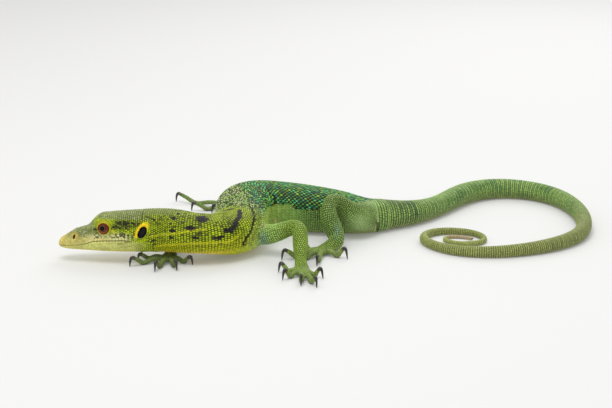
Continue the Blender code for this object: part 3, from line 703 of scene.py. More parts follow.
# Spots of the neck in the photo: middle x and y, width and height, in its pixels.
NECK_SPOTS = (
    (173.6, 218.2, 5, 3), (178.5, 213.8, 3, 2), (186.5, 211.5, 4, 2), (202.6, 218.7, 11, 5.5),
    (212.9, 213.3, 5, 2), (190.1, 228, 8.5, 4.5), (172.7, 231.2, 6.5, 3), (170.9, 223.1, 2.5, 2),
    (153.5, 219.6, 3, 2), (171.8, 238, 5, 2.5), (153.5, 240.7, 4, 2.5), (195.7, 237.4, 6, 2.5),
    (220.9, 243.9, 5, 1.5),
)
# The back's rows of ovals: where they begin, how far apart the rows are, and the ovals in one row.
BACK_STARTS = 60.0
BACK_ROW = 1.38
BACK_CELL = 2.3
# How far before the tail's root its rings begin, their pitch, and the size and seed of their noise and of
# the body's.
TAIL_RINGS = 8.0
RING_PITCH = 3.4
RING_CLOUD = (12, 21)
BODY_CLOUD = (14, 11)
# The pitch of the dark rows on the flank, and of the creases beside the gular fold.
FLANK_ROW = 2.16
CREASE_PITCH = 1.5


def photo_ray(px, py):
    """The camera's ray through one pixel, in design millimetres."""
    focal = PHOTO_SIZE[0] * LENS / SENSOR
    across = (px - PHOTO_SIZE[0] / 2) / focal
    down = (py - PHOTO_SIZE[1] / 2) / focal
    level, slope = math.cos(CAMERA_PITCH), math.sin(CAMERA_PITCH)
    way = np.array([across, level - down * slope, -slope - down * level])
    return np.array(CAMERA_AT), way / np.linalg.norm(way)


def cast_line(tree, pixels):
    """Where the pixels' rays first meet the skin, filled in so that neighbours are close."""
    hits = []
    for px, py in pixels:
        start, way = photo_ray(px, py)
        spot, _, _, _ = tree.ray_cast(Vector(start), Vector(way))
        if spot is not None:
            hits.append(tuple(spot))
    hits = np.array(hits)
    if len(hits) < 2:
        return hits
    route = Route(hits)
    return route.at(np.linspace(0, route.length, max(2, int(route.length / 0.5))))


def flat_place(strand, points):
    """(along, arc from the back's midline) in millimetres, with both flanks on the same side."""
    fine, turn = strand.locate(points)
    girth = np.interp(fine, np.arange(len(strand.girth)), strand.girth)
    return np.stack([strand.along(fine), np.abs(turn) / (2 * math.pi) * girth], axis=1), turn


def line_distance(flat, line):
    """The distance of flat places from a row of flat places."""
    best = np.full(len(flat), 1e9)
    for point in line:
        best = np.minimum(best, ((flat - point) ** 2).sum(axis=1))
    return np.sqrt(best)


def noise(points, size, seed=0, octaves=3):
    """Smooth noise from -1 to 1, from sums of turned sine waves."""
    waves = np.random.default_rng(seed + 77)
    total = np.zeros(len(points))
    weight = 0.0
    for octave in range(octaves):
        scale = 2**octave / size
        share = 0.55**octave
        for _ in range(5):
            way = waves.normal(size=3)
            way *= 2 * math.pi * scale * waves.uniform(0.6, 1.3) / np.linalg.norm(way)
            total += share * np.sin(points @ way + waves.uniform(0, 7))
        weight += share * 2.2
    return np.clip(total / weight, -1, 1)


# Markings, and painted shade


def srgb(*levels):
    levels = np.array(levels, float) / 255
    return np.where(levels <= 0.04045, levels / 12.92, ((levels + 0.055) / 1.055) ** 2.4)


LIME = srgb(184, 206, 14)
LIME_DEEP = srgb(144, 168, 12)
NECK_LOW = srgb(196, 202, 2)
OCHRE = srgb(240, 216, 70)
THROAT = srgb(232, 220, 104)
JAW = srgb(216, 218, 128)
CREAM = srgb(236, 230, 170)
CROWN = srgb(147, 160, 91)
CROWN_PALE = srgb(172, 178, 130)
SNOUT = srgb(214, 204, 116)
SNOUT_TIP = srgb(236, 194, 80)
BRIGHT_YELLOW = srgb(250, 214, 22)
SHOULDER = srgb(190, 214, 96)
HUMP_GREEN = srgb(156, 198, 92)
HUMP_PINK = srgb(206, 200, 156)
FLANK_UP = srgb(148, 190, 94)
FLANK = srgb(144, 184, 92)
FLANK_REAR = srgb(152, 180, 112)
TURQUOISE = srgb(104, 200, 104)
AQUA = srgb(70, 168, 116)
OVAL_GREEN = srgb(146, 188, 58)
BACK_BLACK = srgb(22, 34, 18)
INK = srgb(26, 18, 34)
ARM = srgb(182, 222, 108)
FOREARM = srgb(152, 186, 66)
LEG = srgb(138, 174, 80)
FOOT = srgb(142, 162, 92)
BLUE_TINT = srgb(124, 172, 200)
TAIL_GREEN = srgb(170, 208, 110)
TAIL_BLUE = srgb(84, 122, 88)
TAIL_ROOT_BLUE = srgb(50, 88, 84)
TAIL_OLIVE = srgb(176, 186, 104)
TAIL_BELLY = srgb(206, 206, 150)
BELLY = srgb(188, 194, 120)
BEIGE = srgb(206, 182, 142)
JAW_CREASE = srgb(112, 108, 44)
LID_YELLOW = srgb(214, 200, 26)
LID_GROOVE = srgb(120, 124, 24)
CHEEK_YELLOW = srgb(222, 214, 60)
EAR_BLACK = srgb(16, 12, 24)
NOSTRIL_YELLOW = srgb(226, 196, 84)
NOSTRIL_DARK = srgb(40, 28, 18)
MOUTH_PALE = srgb(176, 158, 90)
MOUTH_DARK = srgb(92, 46, 42)
LIP_PALE = srgb(222, 206, 112)
SHOULDER_PALE = srgb(206, 208, 140)
VENT_SIDE = srgb(206, 192, 140)
AXILLA_PALE = srgb(226, 206, 130)
STRIPE_YELLOW = srgb(214, 208, 30)
VENT_PALE = srgb(222, 208, 168)
VENT_SHADE = srgb(70, 66, 40)
TAIL_FRESH = srgb(120, 172, 84)
TAIL_LOW = srgb(150, 172, 96)
SOLE = srgb(74, 62, 54)
PUPIL_BLACK = srgb(6, 5, 7)
IRIS_DARK = srgb(40, 14, 12)
IRIS = srgb(100, 42, 28)
IRIS_RIM = srgb(44, 16, 14)
IRIS_LIT = srgb(176, 96, 58)
IRIS_RING = srgb(178, 120, 62)
EYE_BLACK = srgb(28, 16, 16)
CLAW_BROWN = srgb(70, 60, 44)
CLAW_BLACK = srgb(20, 17, 16)


def mix(low, high, share):
    share = np.asarray(share, float)
    if share.ndim == 1:
        share = share[:, None]
    return low * (1 - share) + high * share


def vary(colour, lot, spread):
    """Each scale a little lighter or darker, by its random share."""
    return colour * (1 - spread / 2 + spread * lot)[:, None]


class Markings:
    """The animal's colours and painted shade: the same for the skin and for each scale, read at points with
    their strand.
    """

    def __init__(self, strands, tree):
        self.strands = strands
        self.body = strands[strand_index(strands, "body")]
        self.tail = strands[strand_index(strands, "tail")]
        self.lines = {name: flat_place(self.body, cast_line(tree, pixels))[0]
                      for name, pixels in skin_lines().items()}
        self.spots = []
        for x, y, wide, high in NECK_SPOTS:
            ends = ((0, 0), (-wide / 2, 0), (wide / 2, 0), (0, -high / 2), (0, high / 2))
            hits = [cast_line(tree, [(x + right, y + down)]) for right, down in ends]
            if all(len(hit) for hit in hits):
                flat = flat_place(self.body, np.concatenate(hits))[0]
                reach = abs(flat[2, 0] - flat[1, 0]) / 2, abs(flat[4, 1] - flat[3, 1]) / 2
                self.spots.append((*flat[0], *reach))

    def paint(self, points, shares, lot):
        """(colour, dark share of the gaps between scales) at points. lot is a random share for each."""
        colour = np.zeros((len(points), 3))
        gap = np.zeros(len(points))
        painters = (self.paint_head, self.paint_body, self.paint_tail, self.paint_limb)
        for column, painter in enumerate(painters):
            rows = np.flatnonzero(shares[:, column] > 0.01)
            if len(rows):
                found, dark = painter(points[rows], lot[rows])
                colour[rows] += found * shares[rows, column : column + 1]
                gap[rows] += dark * shares[rows, column]
        total = np.where(shares > 0.01, shares, 0).sum(axis=1)
        return np.clip(colour / total[:, None], 0.003, 1), np.clip(gap / total, 0, 1)

    def paint_head(self, points, lot):
        m = head_masks(points)
        a, h = m["a"], m["h"]
        cloud = noise(points, 9, 1)
        fine = noise(points, 2.4, 2, 2)
        jaw = profile(MOUTH_LINE, a)
        # Side of the head: lime scales; crown: grey-green with pale ones; snout: grey-yellow.
        colour = mix(LIME, LIME_DEEP, smoothstep(-0.1, 0.8, cloud) * 0.6)
        gap = 0.62 + 0.3 * smoothstep(30, 40, a)
        crown = smoothstep(24.2, 25.6, h)
        colour = mix(colour, mix(CROWN, CROWN_PALE, 0.6 * smoothstep(0.5, 1.0, lot)), crown)
        gap = gap * (1 - 0.1 * crown)
        muzzle = smoothstep(25, 17, a)
        grey = mix(CROWN * 0.85, CROWN_PALE * 0.9, smoothstep(0.4, 0.9, lot + 0.3 * fine))
        colour = mix(colour, grey, muzzle)
        gap = gap * (1 - 0.2 * muzzle)
        front = bell(a - 20.6, 2.4) * bell(h - 17.4, 3.0)
        colour = mix(colour, CROWN * 0.42, front * (0.6 + 0.35 * fine))
        colour = mix(colour, SNOUT, smoothstep(15, 6, a) * smoothstep(19, 14, h + 0.2 * a) * 0.75)
        colour = mix(colour, SNOUT_TIP, smoothstep(5.4, 1.6, a) * 0.9)
        # Cheek and upper lip: cream with dark flecks.
        lip = smoothstep(6.0, 2.4, h - jaw) * smoothstep(-0.3, 0.2, h - jaw) * smoothstep(46, 36, a)
        colour = mix(colour, mix(SNOUT * 0.95, CREAM, smoothstep(14, 22, a)), lip * (0.8 + 0.2 * fine))
        gap = gap * (1 - 0.8 * lip)
        flecks = smoothstep(0.5, 0.62, lot + 0.25 * fine) * smoothstep(0.5, 1.6, h - jaw)
        flecks = flecks * smoothstep(6.4, 4.0, h - jaw) * smoothstep(17, 22, a) * smoothstep(46, 40, a)
        colour = mix(colour, CROWN * 0.16, flecks * 0.85)
        below = smoothstep(0.1, -0.5, h - jaw) * smoothstep(54, 38, a)
        under = mix(JAW, THROAT, smoothstep(8.6, 6.6, h) * 0.7)
        under = mix(under, SNOUT * 0.95, smoothstep(20, 8, a) * 0.65)
        under = mix(under, under * 0.86, smoothstep(-0.2, 0.6, noise(points * (0.35, 1, 1), 3, 6, 2)))
        under = mix(under, JAW_CREASE, jaw_crease(a, h) * 0.55)
        under = mix(under, OCHRE * 0.8, smoothstep(7.4, 6.2, h) * smoothstep(30, 40, a) * 0.7)
        colour = mix(colour, under, below)
        gap = gap * (1 - 0.85 * below)
        # Dark bands: a mottled one from behind the eye, and a blacker one above the ear.
        mottle = smoothstep(-0.35, 0.3, noise(points, 1.7, 7, 2) + 0.35 * (lot - 0.5))
        upper = bell(h - 23.2 + 0.05 * (a - 40), 1.05) * smoothstep(30, 36, a) * smoothstep(49.5, 46, a)
        lower = bell(h - 20.8 - 0.02 * (a - 30), 1.2) * smoothstep(29.4, 31, a) * smoothstep(44, 39, a)
        shade = smoothstep(28, 33, a) * smoothstep(50, 44, a) * smoothstep(19.8, 21.5, h) * (1 - crown)
        colour = mix(colour, colour * 0.75, shade)
        colour = mix(colour, INK * 0.8, np.clip(1.5 * upper * (0.3 + 0.7 * mottle), 0, 1) * 0.95)
        colour = mix(colour, INK * 0.8, np.clip(1.5 * lower * (0.35 + 0.65 * mottle), 0, 1) * 0.95)
        bars = smoothstep(0.1, 0.6, np.sin(a * 3.4 + fine))
        stripe = bell(h - 19.2 + 0.03 * (a - 34), 0.9) * smoothstep(30.5, 33, a) * smoothstep(46, 43, a)
        colour = mix(colour, mix(LIME * 1.1, LIME_DEEP * 0.45, bars * 0.6), stripe * 0.85)
        spots = smoothstep(0.62, 0.74, lot) * smoothstep(31, 35, a)
        spots = spots * smoothstep(15, 16.2, h) * smoothstep(18.6, 17.6, h)
        colour = mix(colour, INK, spots * 0.8)
        # Yellow lids, dark front corner, yellow rim of the ear, swelling round the nostril.
        eye = m["eye"]
        rise = smoothstep(-1.5, 1.0, h - EYE_AT[1])
        yellow = smoothstep(3.5 + 1.0 * rise, 3.25 + 0.8 * rise, eye)
        ray = 0.5 + 0.5 * np.sin(22 * np.arctan2(h - EYE_AT[1], a - EYE_AT[0]))
        colour = mix(colour, mix(LID_YELLOW, LID_GROOVE, ray * rise * 0.6), yellow * 0.95)
        gap = gap * (1 - 0.5 * yellow)
        colour = mix(colour, CHEEK_YELLOW, bell(a - 31.2, 1.2) * bell(h - 18.4, 1.0) * 0.8)
        corner = bell(a - (EYE_AT[0] - 4.5), 1.3) * bell(h - EYE_AT[1] + 0.7, 0.65) * m["on_side"]
        colour = mix(colour, INK, np.clip(corner * 1.2, 0, 1) * 0.95)
        colour = mix(colour, INK * 0.5, smoothstep(LID_OPENING + 0.12, LID_OPENING - 0.1, eye))
        ear = m["ear"]
        ex, ey = side_frame(a, h, EAR_AT, EAR_LEAN)
        front = smoothstep(0.8, -0.4, ex - 0.42 * ey)
        colour = mix(colour, BRIGHT_YELLOW, smoothstep(1.85, 1.45, ear) * front)
        gap = gap * (1 - 0.8 * smoothstep(1.85, 1.45, ear) * front)
        colour = mix(colour, EAR_BLACK, smoothstep(1.12, 1.0, ear))
        nostril = m["nostril"]
        patch = np.hypot(a - NOSTRIL_AT[0] - 0.5, h - NOSTRIL_AT[1] - 0.6)
        colour = mix(colour, NOSTRIL_YELLOW, smoothstep(2.6, 1.2, patch) * 0.7)
        colour = mix(colour, NOSTRIL_DARK, smoothstep(1.2, 0.85, nostril))
        line = bell(m["mouth"], 0.24) * smoothstep(MOUTH_END + 1, MOUTH_END - 2, a)
        seam = mix(MOUTH_PALE, MOUTH_DARK, smoothstep(16, 28, a))
        colour = mix(colour, seam, line * (0.2 + 0.55 * smoothstep(12, 24, a)))
        rim = smoothstep(0.4, 1.0, h - jaw) * smoothstep(1.9, 1.2, h - jaw)
        rim = rim * smoothstep(17, 20, a) * smoothstep(31, 27, a)
        colour = mix(colour, LIP_PALE, rim * 0.6)
        return vary(colour, lot, 0.24), gap

    def paint_body(self, points, lot):
        flat, turn = flat_place(self.body, points)
        along, arc = flat[:, 0], flat[:, 1]
        up = np.cos(turn)
        height = points[:, 2]
        cloud = noise(points, *BODY_CLOUD)
        fine = noise(points, 2.6, 12, 2)
        # The neck: lime above, yellower below, ochre on the throat, all with black between the scales.
        colour = mix(LIME, LIME_DEEP, smoothstep(-0.2, 0.7, cloud) * 0.6)
        colour = mix(colour, colour * 0.8, smoothstep(17, 24, height))
        speckled = smoothstep(15, 19, height) * smoothstep(50, 40, along)
        speckled = speckled * smoothstep(-0.5, 0.3, cloud + fine)
        colour = mix(colour, colour * 0.3, smoothstep(0.32, 0.24, lot) * speckled)
        colour = mix(colour, NECK_LOW, smoothstep(17, 11, height) * 0.8)
        colour = mix(colour, OCHRE, smoothstep(9.5, 6.5, height) * smoothstep(50, 34, along))
        gap = 0.95 - 0.2 * smoothstep(13, 9, height) - 0.35 * smoothstep(9, 6, height)
        nape = smoothstep(0.80, 0.95, up) * smoothstep(30, 10, along)
        colour = mix(colour, CROWN, nape * 0.8)
        gap = gap - 0.2 * nape
        # The shoulder is smooth and yellow-green, and the hump above it is reticulated.
        shoulder = smoothstep(45, 58, along) * smoothstep(23, 15, height)
        colour = mix(colour, SHOULDER, shoulder)
        pale = smoothstep(-0.1, 0.5, fine) * smoothstep(14, 9, height)
        colour = mix(colour, SHOULDER_PALE, shoulder * pale * 0.5)
        colour = mix(colour, OCHRE, smoothstep(4.4, 2.6, height) * smoothstep(88, 74, along) * shoulder * 0.8)
        gap = gap - 0.4 * shoulder
        hump = smoothstep(56, 68, along) * smoothstep(18.0, 22, height + 1.5 * fine)
        net = mix(HUMP_GREEN, HUMP_PINK, smoothstep(0.55, 0.75, lot) * smoothstep(-0.3, 0.4, fine))
        net = mix(net, BACK_BLACK, smoothstep(0.56, 0.66, 1 - lot + 0.25 * fine) * 0.85)
        colour = mix(colour, net, hump)
        gap = gap * (1 - hump) + 0.95 * hump
        # The flank: smooth behind the arm, then with dark rows across it, and pale by the vent.
        x = points[:, 0]
        flank = smoothstep(-50, -19, x + 3.0 * fine) * smoothstep(52, 60, along)
        middle = smoothstep(-24, -8, x)
        rear = smoothstep(5, 15, x)
        side = mix(FLANK_UP, FLANK, middle)
        side = mix(side, FLANK_REAR, rear)
        side = mix(side, BELLY, smoothstep(5.5, 1.0, height) * 0.6)
        rows = 0.5 + 0.5 * np.sin(2 * math.pi * along / FLANK_ROW)
        side = mix(side, side * 0.45, rows * middle * (1 - rear) * smoothstep(7, 16, height) * 0.85)
        side = mix(side, VENT_SIDE, bell(x - 25, 3.0) * bell(height - 4.5, 3.0) * 0.7)
        colour = mix(colour, side, flank)
        axilla = line_distance(flat, self.lines["axilla"])
        colour = mix(colour, AXILLA_PALE, smoothstep(1.3, 0.5, axilla) * 0.7)
        gap = gap * (1 - flank) + flank * (0.55 + 0.42 * middle - 0.6 * rear)
        # Spots, the chevron and the fold lines of the neck and shoulder.
        spots = np.zeros(len(points))
        for s, arc_at, wide, high in self.spots:
            reach = np.hypot((along - s) / wide, (arc - arc_at) / high)
            spots = np.maximum(spots, smoothstep(1.3, 0.95, reach + 0.16 * fine))
        for name, wide in (("chevron", 1.45), ("lobe", 1.3), ("blob", 1.15)):
            away = line_distance(flat, self.lines[name]) + 0.4 * fine
            spots = np.maximum(spots, smoothstep(wide + 0.35, wide - 0.3, away))
        spots = np.maximum(spots, smoothstep(0.85, 0.35, line_distance(flat, self.lines["gular"])))
        spots = np.maximum(spots, 0.8 * smoothstep(0.75, 0.35, line_distance(flat, self.lines["short"])))
        for name, wide, strength in (("upper stripe", 0.5, 0.65), ("lower stripe", 0.55, 0.6)):
            stripe = smoothstep(wide + 0.35, wide - 0.25, line_distance(flat, self.lines[name]))
            colour = mix(colour, STRIPE_YELLOW, stripe * strength)
            gap = gap * (1 - 0.6 * stripe)
        creases = bell(line_distance(flat, self.lines["gular"]) - 3.4, 2.2) * smoothstep(-46.5, -44.5, x)
        creases = creases * smoothstep(0.0, 0.8, np.sin(2 * math.pi * arc / CREASE_PITCH + 0.8 * fine))
        colour = mix(colour, colour * 0.4, creases * smoothstep(4, 8, height) * 0.8)
        vent = line_distance(flat, self.lines["vent"])
        colour = mix(colour, VENT_PALE, bell(vent - 1.5, 0.7) * smoothstep(2, 4, height) * 0.55)
        # Painted shade darkens the vent's slit.
        colour = mix(colour, VENT_SHADE, smoothstep(0.8, 0.3, vent) * 0.5)
        ringed = smoothstep(self.body.where[-1] - TAIL_RINGS - 3, self.body.where[-1] - TAIL_RINGS + 2, along)
        wave = 2 * math.pi * (along - self.body.where[-1]) / RING_PITCH
        rings = smoothstep(-0.1, 0.9, np.sin(wave + 0.6 * noise(points, *RING_CLOUD)))
        colour = mix(colour, mix(TAIL_GREEN, TAIL_ROOT_BLUE, rings * 0.35), ringed)
        gap = gap * (1 - ringed) + 0.9 * ringed
        back = self.back(points, along, cloud)
        colour = mix(colour, BACK_BLACK, back * 0.96)
        gap = gap * (1 - back) + back * 0.6
        colour = mix(colour, INK, spots * 0.97)
        belly = smoothstep(1.6, 0.4, height) * smoothstep(60, 75, along)
        colour = mix(colour, BELLY, belly)
        return vary(colour, lot, 0.36), gap

    @staticmethod
    def back(points, along, cloud):
        """How far the back's black ground covers each point of the body."""
        x, height = points[:, 0], points[:, 2]
        rough = noise(points, 3.0, 13, 2)
        start = smoothstep(-45.5, -44.5, x + 1.5 * (height - 26) + 2.2 * rough) * smoothstep(62, 63, along)
        edge = 19.8 - 3.2 * bell(x + 11, 15) + 1.2 * smoothstep(6, 14, x) - 2.0 * bell(x - 22, 9)
        return smoothstep(edge - 0.4, edge + 0.4, height + 0.9 * cloud + 1.1 * rough) * start

    @staticmethod
    def oval_tint(lot):
        tint = mix(TURQUOISE, AQUA, smoothstep(0.6, 0.95, lot))
        return mix(tint, OVAL_GREEN, smoothstep(0.45, 0.15, lot))

    def paint_tail(self, points, lot):
        fine, turn = self.tail.locate(points)
        along = self.tail.along(fine)
        up = np.cos(turn)
        share = along / self.tail.where[-1]
        cloud = noise(points, *RING_CLOUD)
        wave = 2 * math.pi * along / RING_PITCH
        rings = smoothstep(-0.1, 0.9, np.sin(wave + 0.6 * cloud)) * smoothstep(0.75, 0.45, share)
        rings = rings * (0.7 + 0.3 * cloud)
        colour = mix(TAIL_GREEN, TAIL_OLIVE, smoothstep(0.34, 0.5, share))
        colour = mix(colour, TAIL_FRESH, smoothstep(0.2, 0.8, cloud) * smoothstep(0.5, 0.3, share) * 0.6)
        blue = mix(TAIL_ROOT_BLUE, TAIL_BLUE, smoothstep(10, 30, along))
        colour = mix(colour, blue, rings * (0.35 + 0.4 * smoothstep(0, 9, along)))
        low = smoothstep(0.2, -0.3, up) * smoothstep(0.5, 0.3, share)
        colour = mix(colour, TAIL_LOW, low * 0.6)
        near_back = smoothstep(0.45, 0.95, up + 0.25 * cloud) * smoothstep(40, 2, along)
        colour = mix(colour, BACK_BLACK, near_back * 0.45)
        colour = mix(colour, TAIL_BELLY, smoothstep(-0.5, -0.9, up) * 0.7)
        colour = mix(colour, BEIGE, smoothstep(0.952, 0.966, share) * 0.85)
        gap = 0.88 - 0.05 * smoothstep(0.15, 0.3, share) - 0.25 * smoothstep(0.85, 0.93, share)
        return vary(colour, lot, 0.24), gap

    def paint_limb(self, points, lot):
        cloud = noise(points, 10, 31)
        height = points[:, 2]
        x, y = points[:, 0], points[:, 1]
        leg = smoothstep(-14, -8, x) * smoothstep(-34, -26, y) + smoothstep(20, 30, y)
        leg = np.clip(leg, 0, 1)
        colour = mix(mix(FOREARM, ARM, smoothstep(-24, -32, x)), LEG, leg)
        colour = mix(colour, colour * 0.82, smoothstep(-0.3, 0.6, cloud) * 0.5)
        gap = 0.86 + 0.1 * leg
        hip = bell(x - 16, 8) * smoothstep(20, 12, height) * leg
        colour = mix(colour, FLANK_REAR, hip)
        gap = gap * (1 - 0.75 * hip)
        foot = smoothstep(6.0, 3.0, height)
        colour = mix(colour, FOOT, foot * 0.8)
        colour = mix(colour, SOLE, smoothstep(1.3, 0.4, height) * 0.7)
        # Painted shadow of the neck: the right forearm and hand that lie under it are darker.
        colour = mix(colour, FOOT * 0.55, smoothstep(-70, -78, x) * smoothstep(0, -10, y) * 0.75)
        gap = gap * (1 - 0.35 * foot)
        # Blue tints before the arm and behind the knee.
        arm_root = bell(x + 38.6, 3.0) * bell(y + 32.0, 9.0) * bell(height - 10, 4.5)
        knee = bell(x - 2.5, 1.8) * bell(height - 11, 3.6) * bell(y + 21, 6)
        colour = mix(colour, BLUE_TINT, np.clip(arm_root + 0.7 * knee, 0, 1) * (0.35 + 0.5 * lot))
        return vary(colour, lot, 0.32), gap


def blend_shares(points, edges, strand_of, strands):
    """How much of each kind of flesh every point shows: head, body, tail and limb, blended at the joints."""
    order = {"head": 0, "body": 1, "tail": 2, "limb": 3, "digit": 3}
    kinds = np.array([order[s.kind] for s in strands])[strand_of]
    shares = np.zeros((len(points), 4))
    shares[np.arange(len(points)), kinds] = 1.0
    shares = smooth_values(shares, edges, 26, 0.7)
    # The ear and its rim straddle the neck, and keep the head's marks whole.
    ear = smoothstep(2.4, 2.0, head_masks(points)["ear"])[:, None]
    return shares * (1 - ear) + np.array([1.0, 0, 0, 0]) * ear


def skin_folds(points, normals, strand_of, strands, marks):
    """Grooves along the fold lines and the gentle relief of the neck and flanks."""
    body = strand_index(strands, "body")
    rows = np.flatnonzero(strand_of == body)
    flat, turn = flat_place(strands[body], points[rows])
    push = np.zeros(len(rows))
    push -= 0.75 * smoothstep(1.1, 0.1, line_distance(flat, marks.lines["gular"]))
    push -= 0.35 * smoothstep(0.8, 0.1, line_distance(flat, marks.lines["short"]))
    vent = line_distance(flat, marks.lines["vent"])
    push += 0.3 * bell(vent - 1.3, 0.7) - 0.55 * smoothstep(1.0, 0.1, vent)
    for name, depth in (("upper stripe", 0.22), ("lower stripe", 0.35)):
        away = line_distance(flat, marks.lines[name])
        push -= depth * bell(away - 2.2, 0.8)
    flank = smoothstep(92, 108, flat[:, 0]) * smoothstep(0.9, 0.3, np.abs(np.cos(turn)))
    push -= 0.10 * flank * (0.5 + 0.5 * np.sin(2 * math.pi * flat[:, 0] / 3.3))
    moved = points.copy()
    moved[rows] += normals[rows] * push[:, None]
    return moved


def build_skin(strands):
    data, tree, owner = raw_skin(strands)
    points = mesh_points(data) / MM
    set_points(data, fair(points, mesh_edges(data), 6) * MM)
    middles = face_middles(data) / MM
    along = head_coordinates(middles)[0]
    refine(data, (along < HEAD_LENGTH - 1.0) & (along > -2))
    middles = face_middles(data) / MM
    m = head_masks(middles)
    near = (m["eye"] < 5.6) | (m["nostril"] < 3.2) | ((m["ear"] < 1.7) & (m["a"] < HEAD_LENGTH))
    near |= (np.abs(m["mouth"]) < 0.9) & (m["a"] < MOUTH_END + 0.5)
    refine(data, near)
    points = mesh_points(data) / MM
    edges = mesh_edges(data)
    strand_of = owners_of(points, tree, owner)
    # Where flesh of two strands meets, the surface is drawn into a soft hollow.
    flesh_of = np.where(strand_of == strand_index(strands, "tail"), strand_index(strands, "body"), strand_of)
    joined = flesh_of[edges[:, 0]] != flesh_of[edges[:, 1]]
    border = np.zeros(len(points))
    border[edges[joined].reshape(-1)] = 1.0
    border = np.clip(smooth_values(border, edges, 10) * 3.0, 0, 1)
    a = head_coordinates(points)[0]
    border *= smoothstep(HEAD_LENGTH - 14, HEAD_LENGTH - 6, a)
    points = smooth_values(points, edges, 14, 0.5, border)
    points = fair(points, edges, 3)
    set_points(data, points * MM)
    normals = vertex_normals(data)
    points = carve_head(points, normals)
    for _ in range(2):
        points = smooth_values(points, edges, 1, 0.35, smoothstep(3, 5, a) * smoothstep(54, 50, a))
    skin_tree = BVHTree.FromPolygons([tuple(p) for p in points], [tuple(p.vertices) for p in data.polygons])
    marks = Markings(strands, skin_tree)
    set_points(data, points * MM)
    points = skin_folds(points, vertex_normals(data), strand_of, strands, marks)
    points[:, 2] = np.maximum(points[:, 2], SKIN_FLOOR)
    set_points(data, points * MM)
    skin = bpy.data.objects.new("skin", data)
    data.name = "skin"
    bpy.context.scene.collection.objects.link(skin)
    data.shade_smooth()
    return skin, points, strand_of, marks


# Scales


def dome(sides, rows):
    """One scale's pattern: rings of (radius, height, shade), and a middle, as points and triangles."""
    points, shade, faces = [], [], []
    for radius, height, dark in rows:
        for k in range(sides):
            turn = 2 * math.pi * (k + 0.5) / sides
            points.append((radius * math.cos(turn), radius * math.sin(turn), height))
            shade.append(dark)
    for ring in range(len(rows) - 1):
        for k in range(sides):
            a, b = ring * sides + k, ring * sides + (k + 1) % sides
            faces += [(a, b, b + sides), (a, b + sides, a + sides)]
    last = (len(rows) - 1) * sides
    points.append((0.0, 0.0, rows[-1][1] * 1.12))
    shade.append(1.0)
    faces += [(last + k, last + (k + 1) % sides, len(points) - 1) for k in range(sides)]
    return np.array(points), np.array(shade), np.array(faces)


# Where the coat's pieces of the trunk and tail meet, and how far scales stay off a fold's line.
TRUNK_CUTS = (62.0, 90.0, 124.0)
TAIL_CUT = 105.0
FOLD_CLEARANCE = 0.62
# Where the snout's smaller scales end, and how far beside the head the rays that place its plates start.
SNOUT_SCALES = 22.0
BESIDE = 30
# How far the pattern is squeezed at the inside of a bend before every other row of scales, or of ovals in
# pairs, is left out.
SQUEEZED = 0.66
BACK_SQUEEZED = 0.62

GRANULE = dome(6, ((1.0, -0.35, 0.3), (0.68, 0.72, 0.8)))
PLATE = dome(7, ((1.0, -0.35, 0.0), (0.8, 0.75, 0.85)))


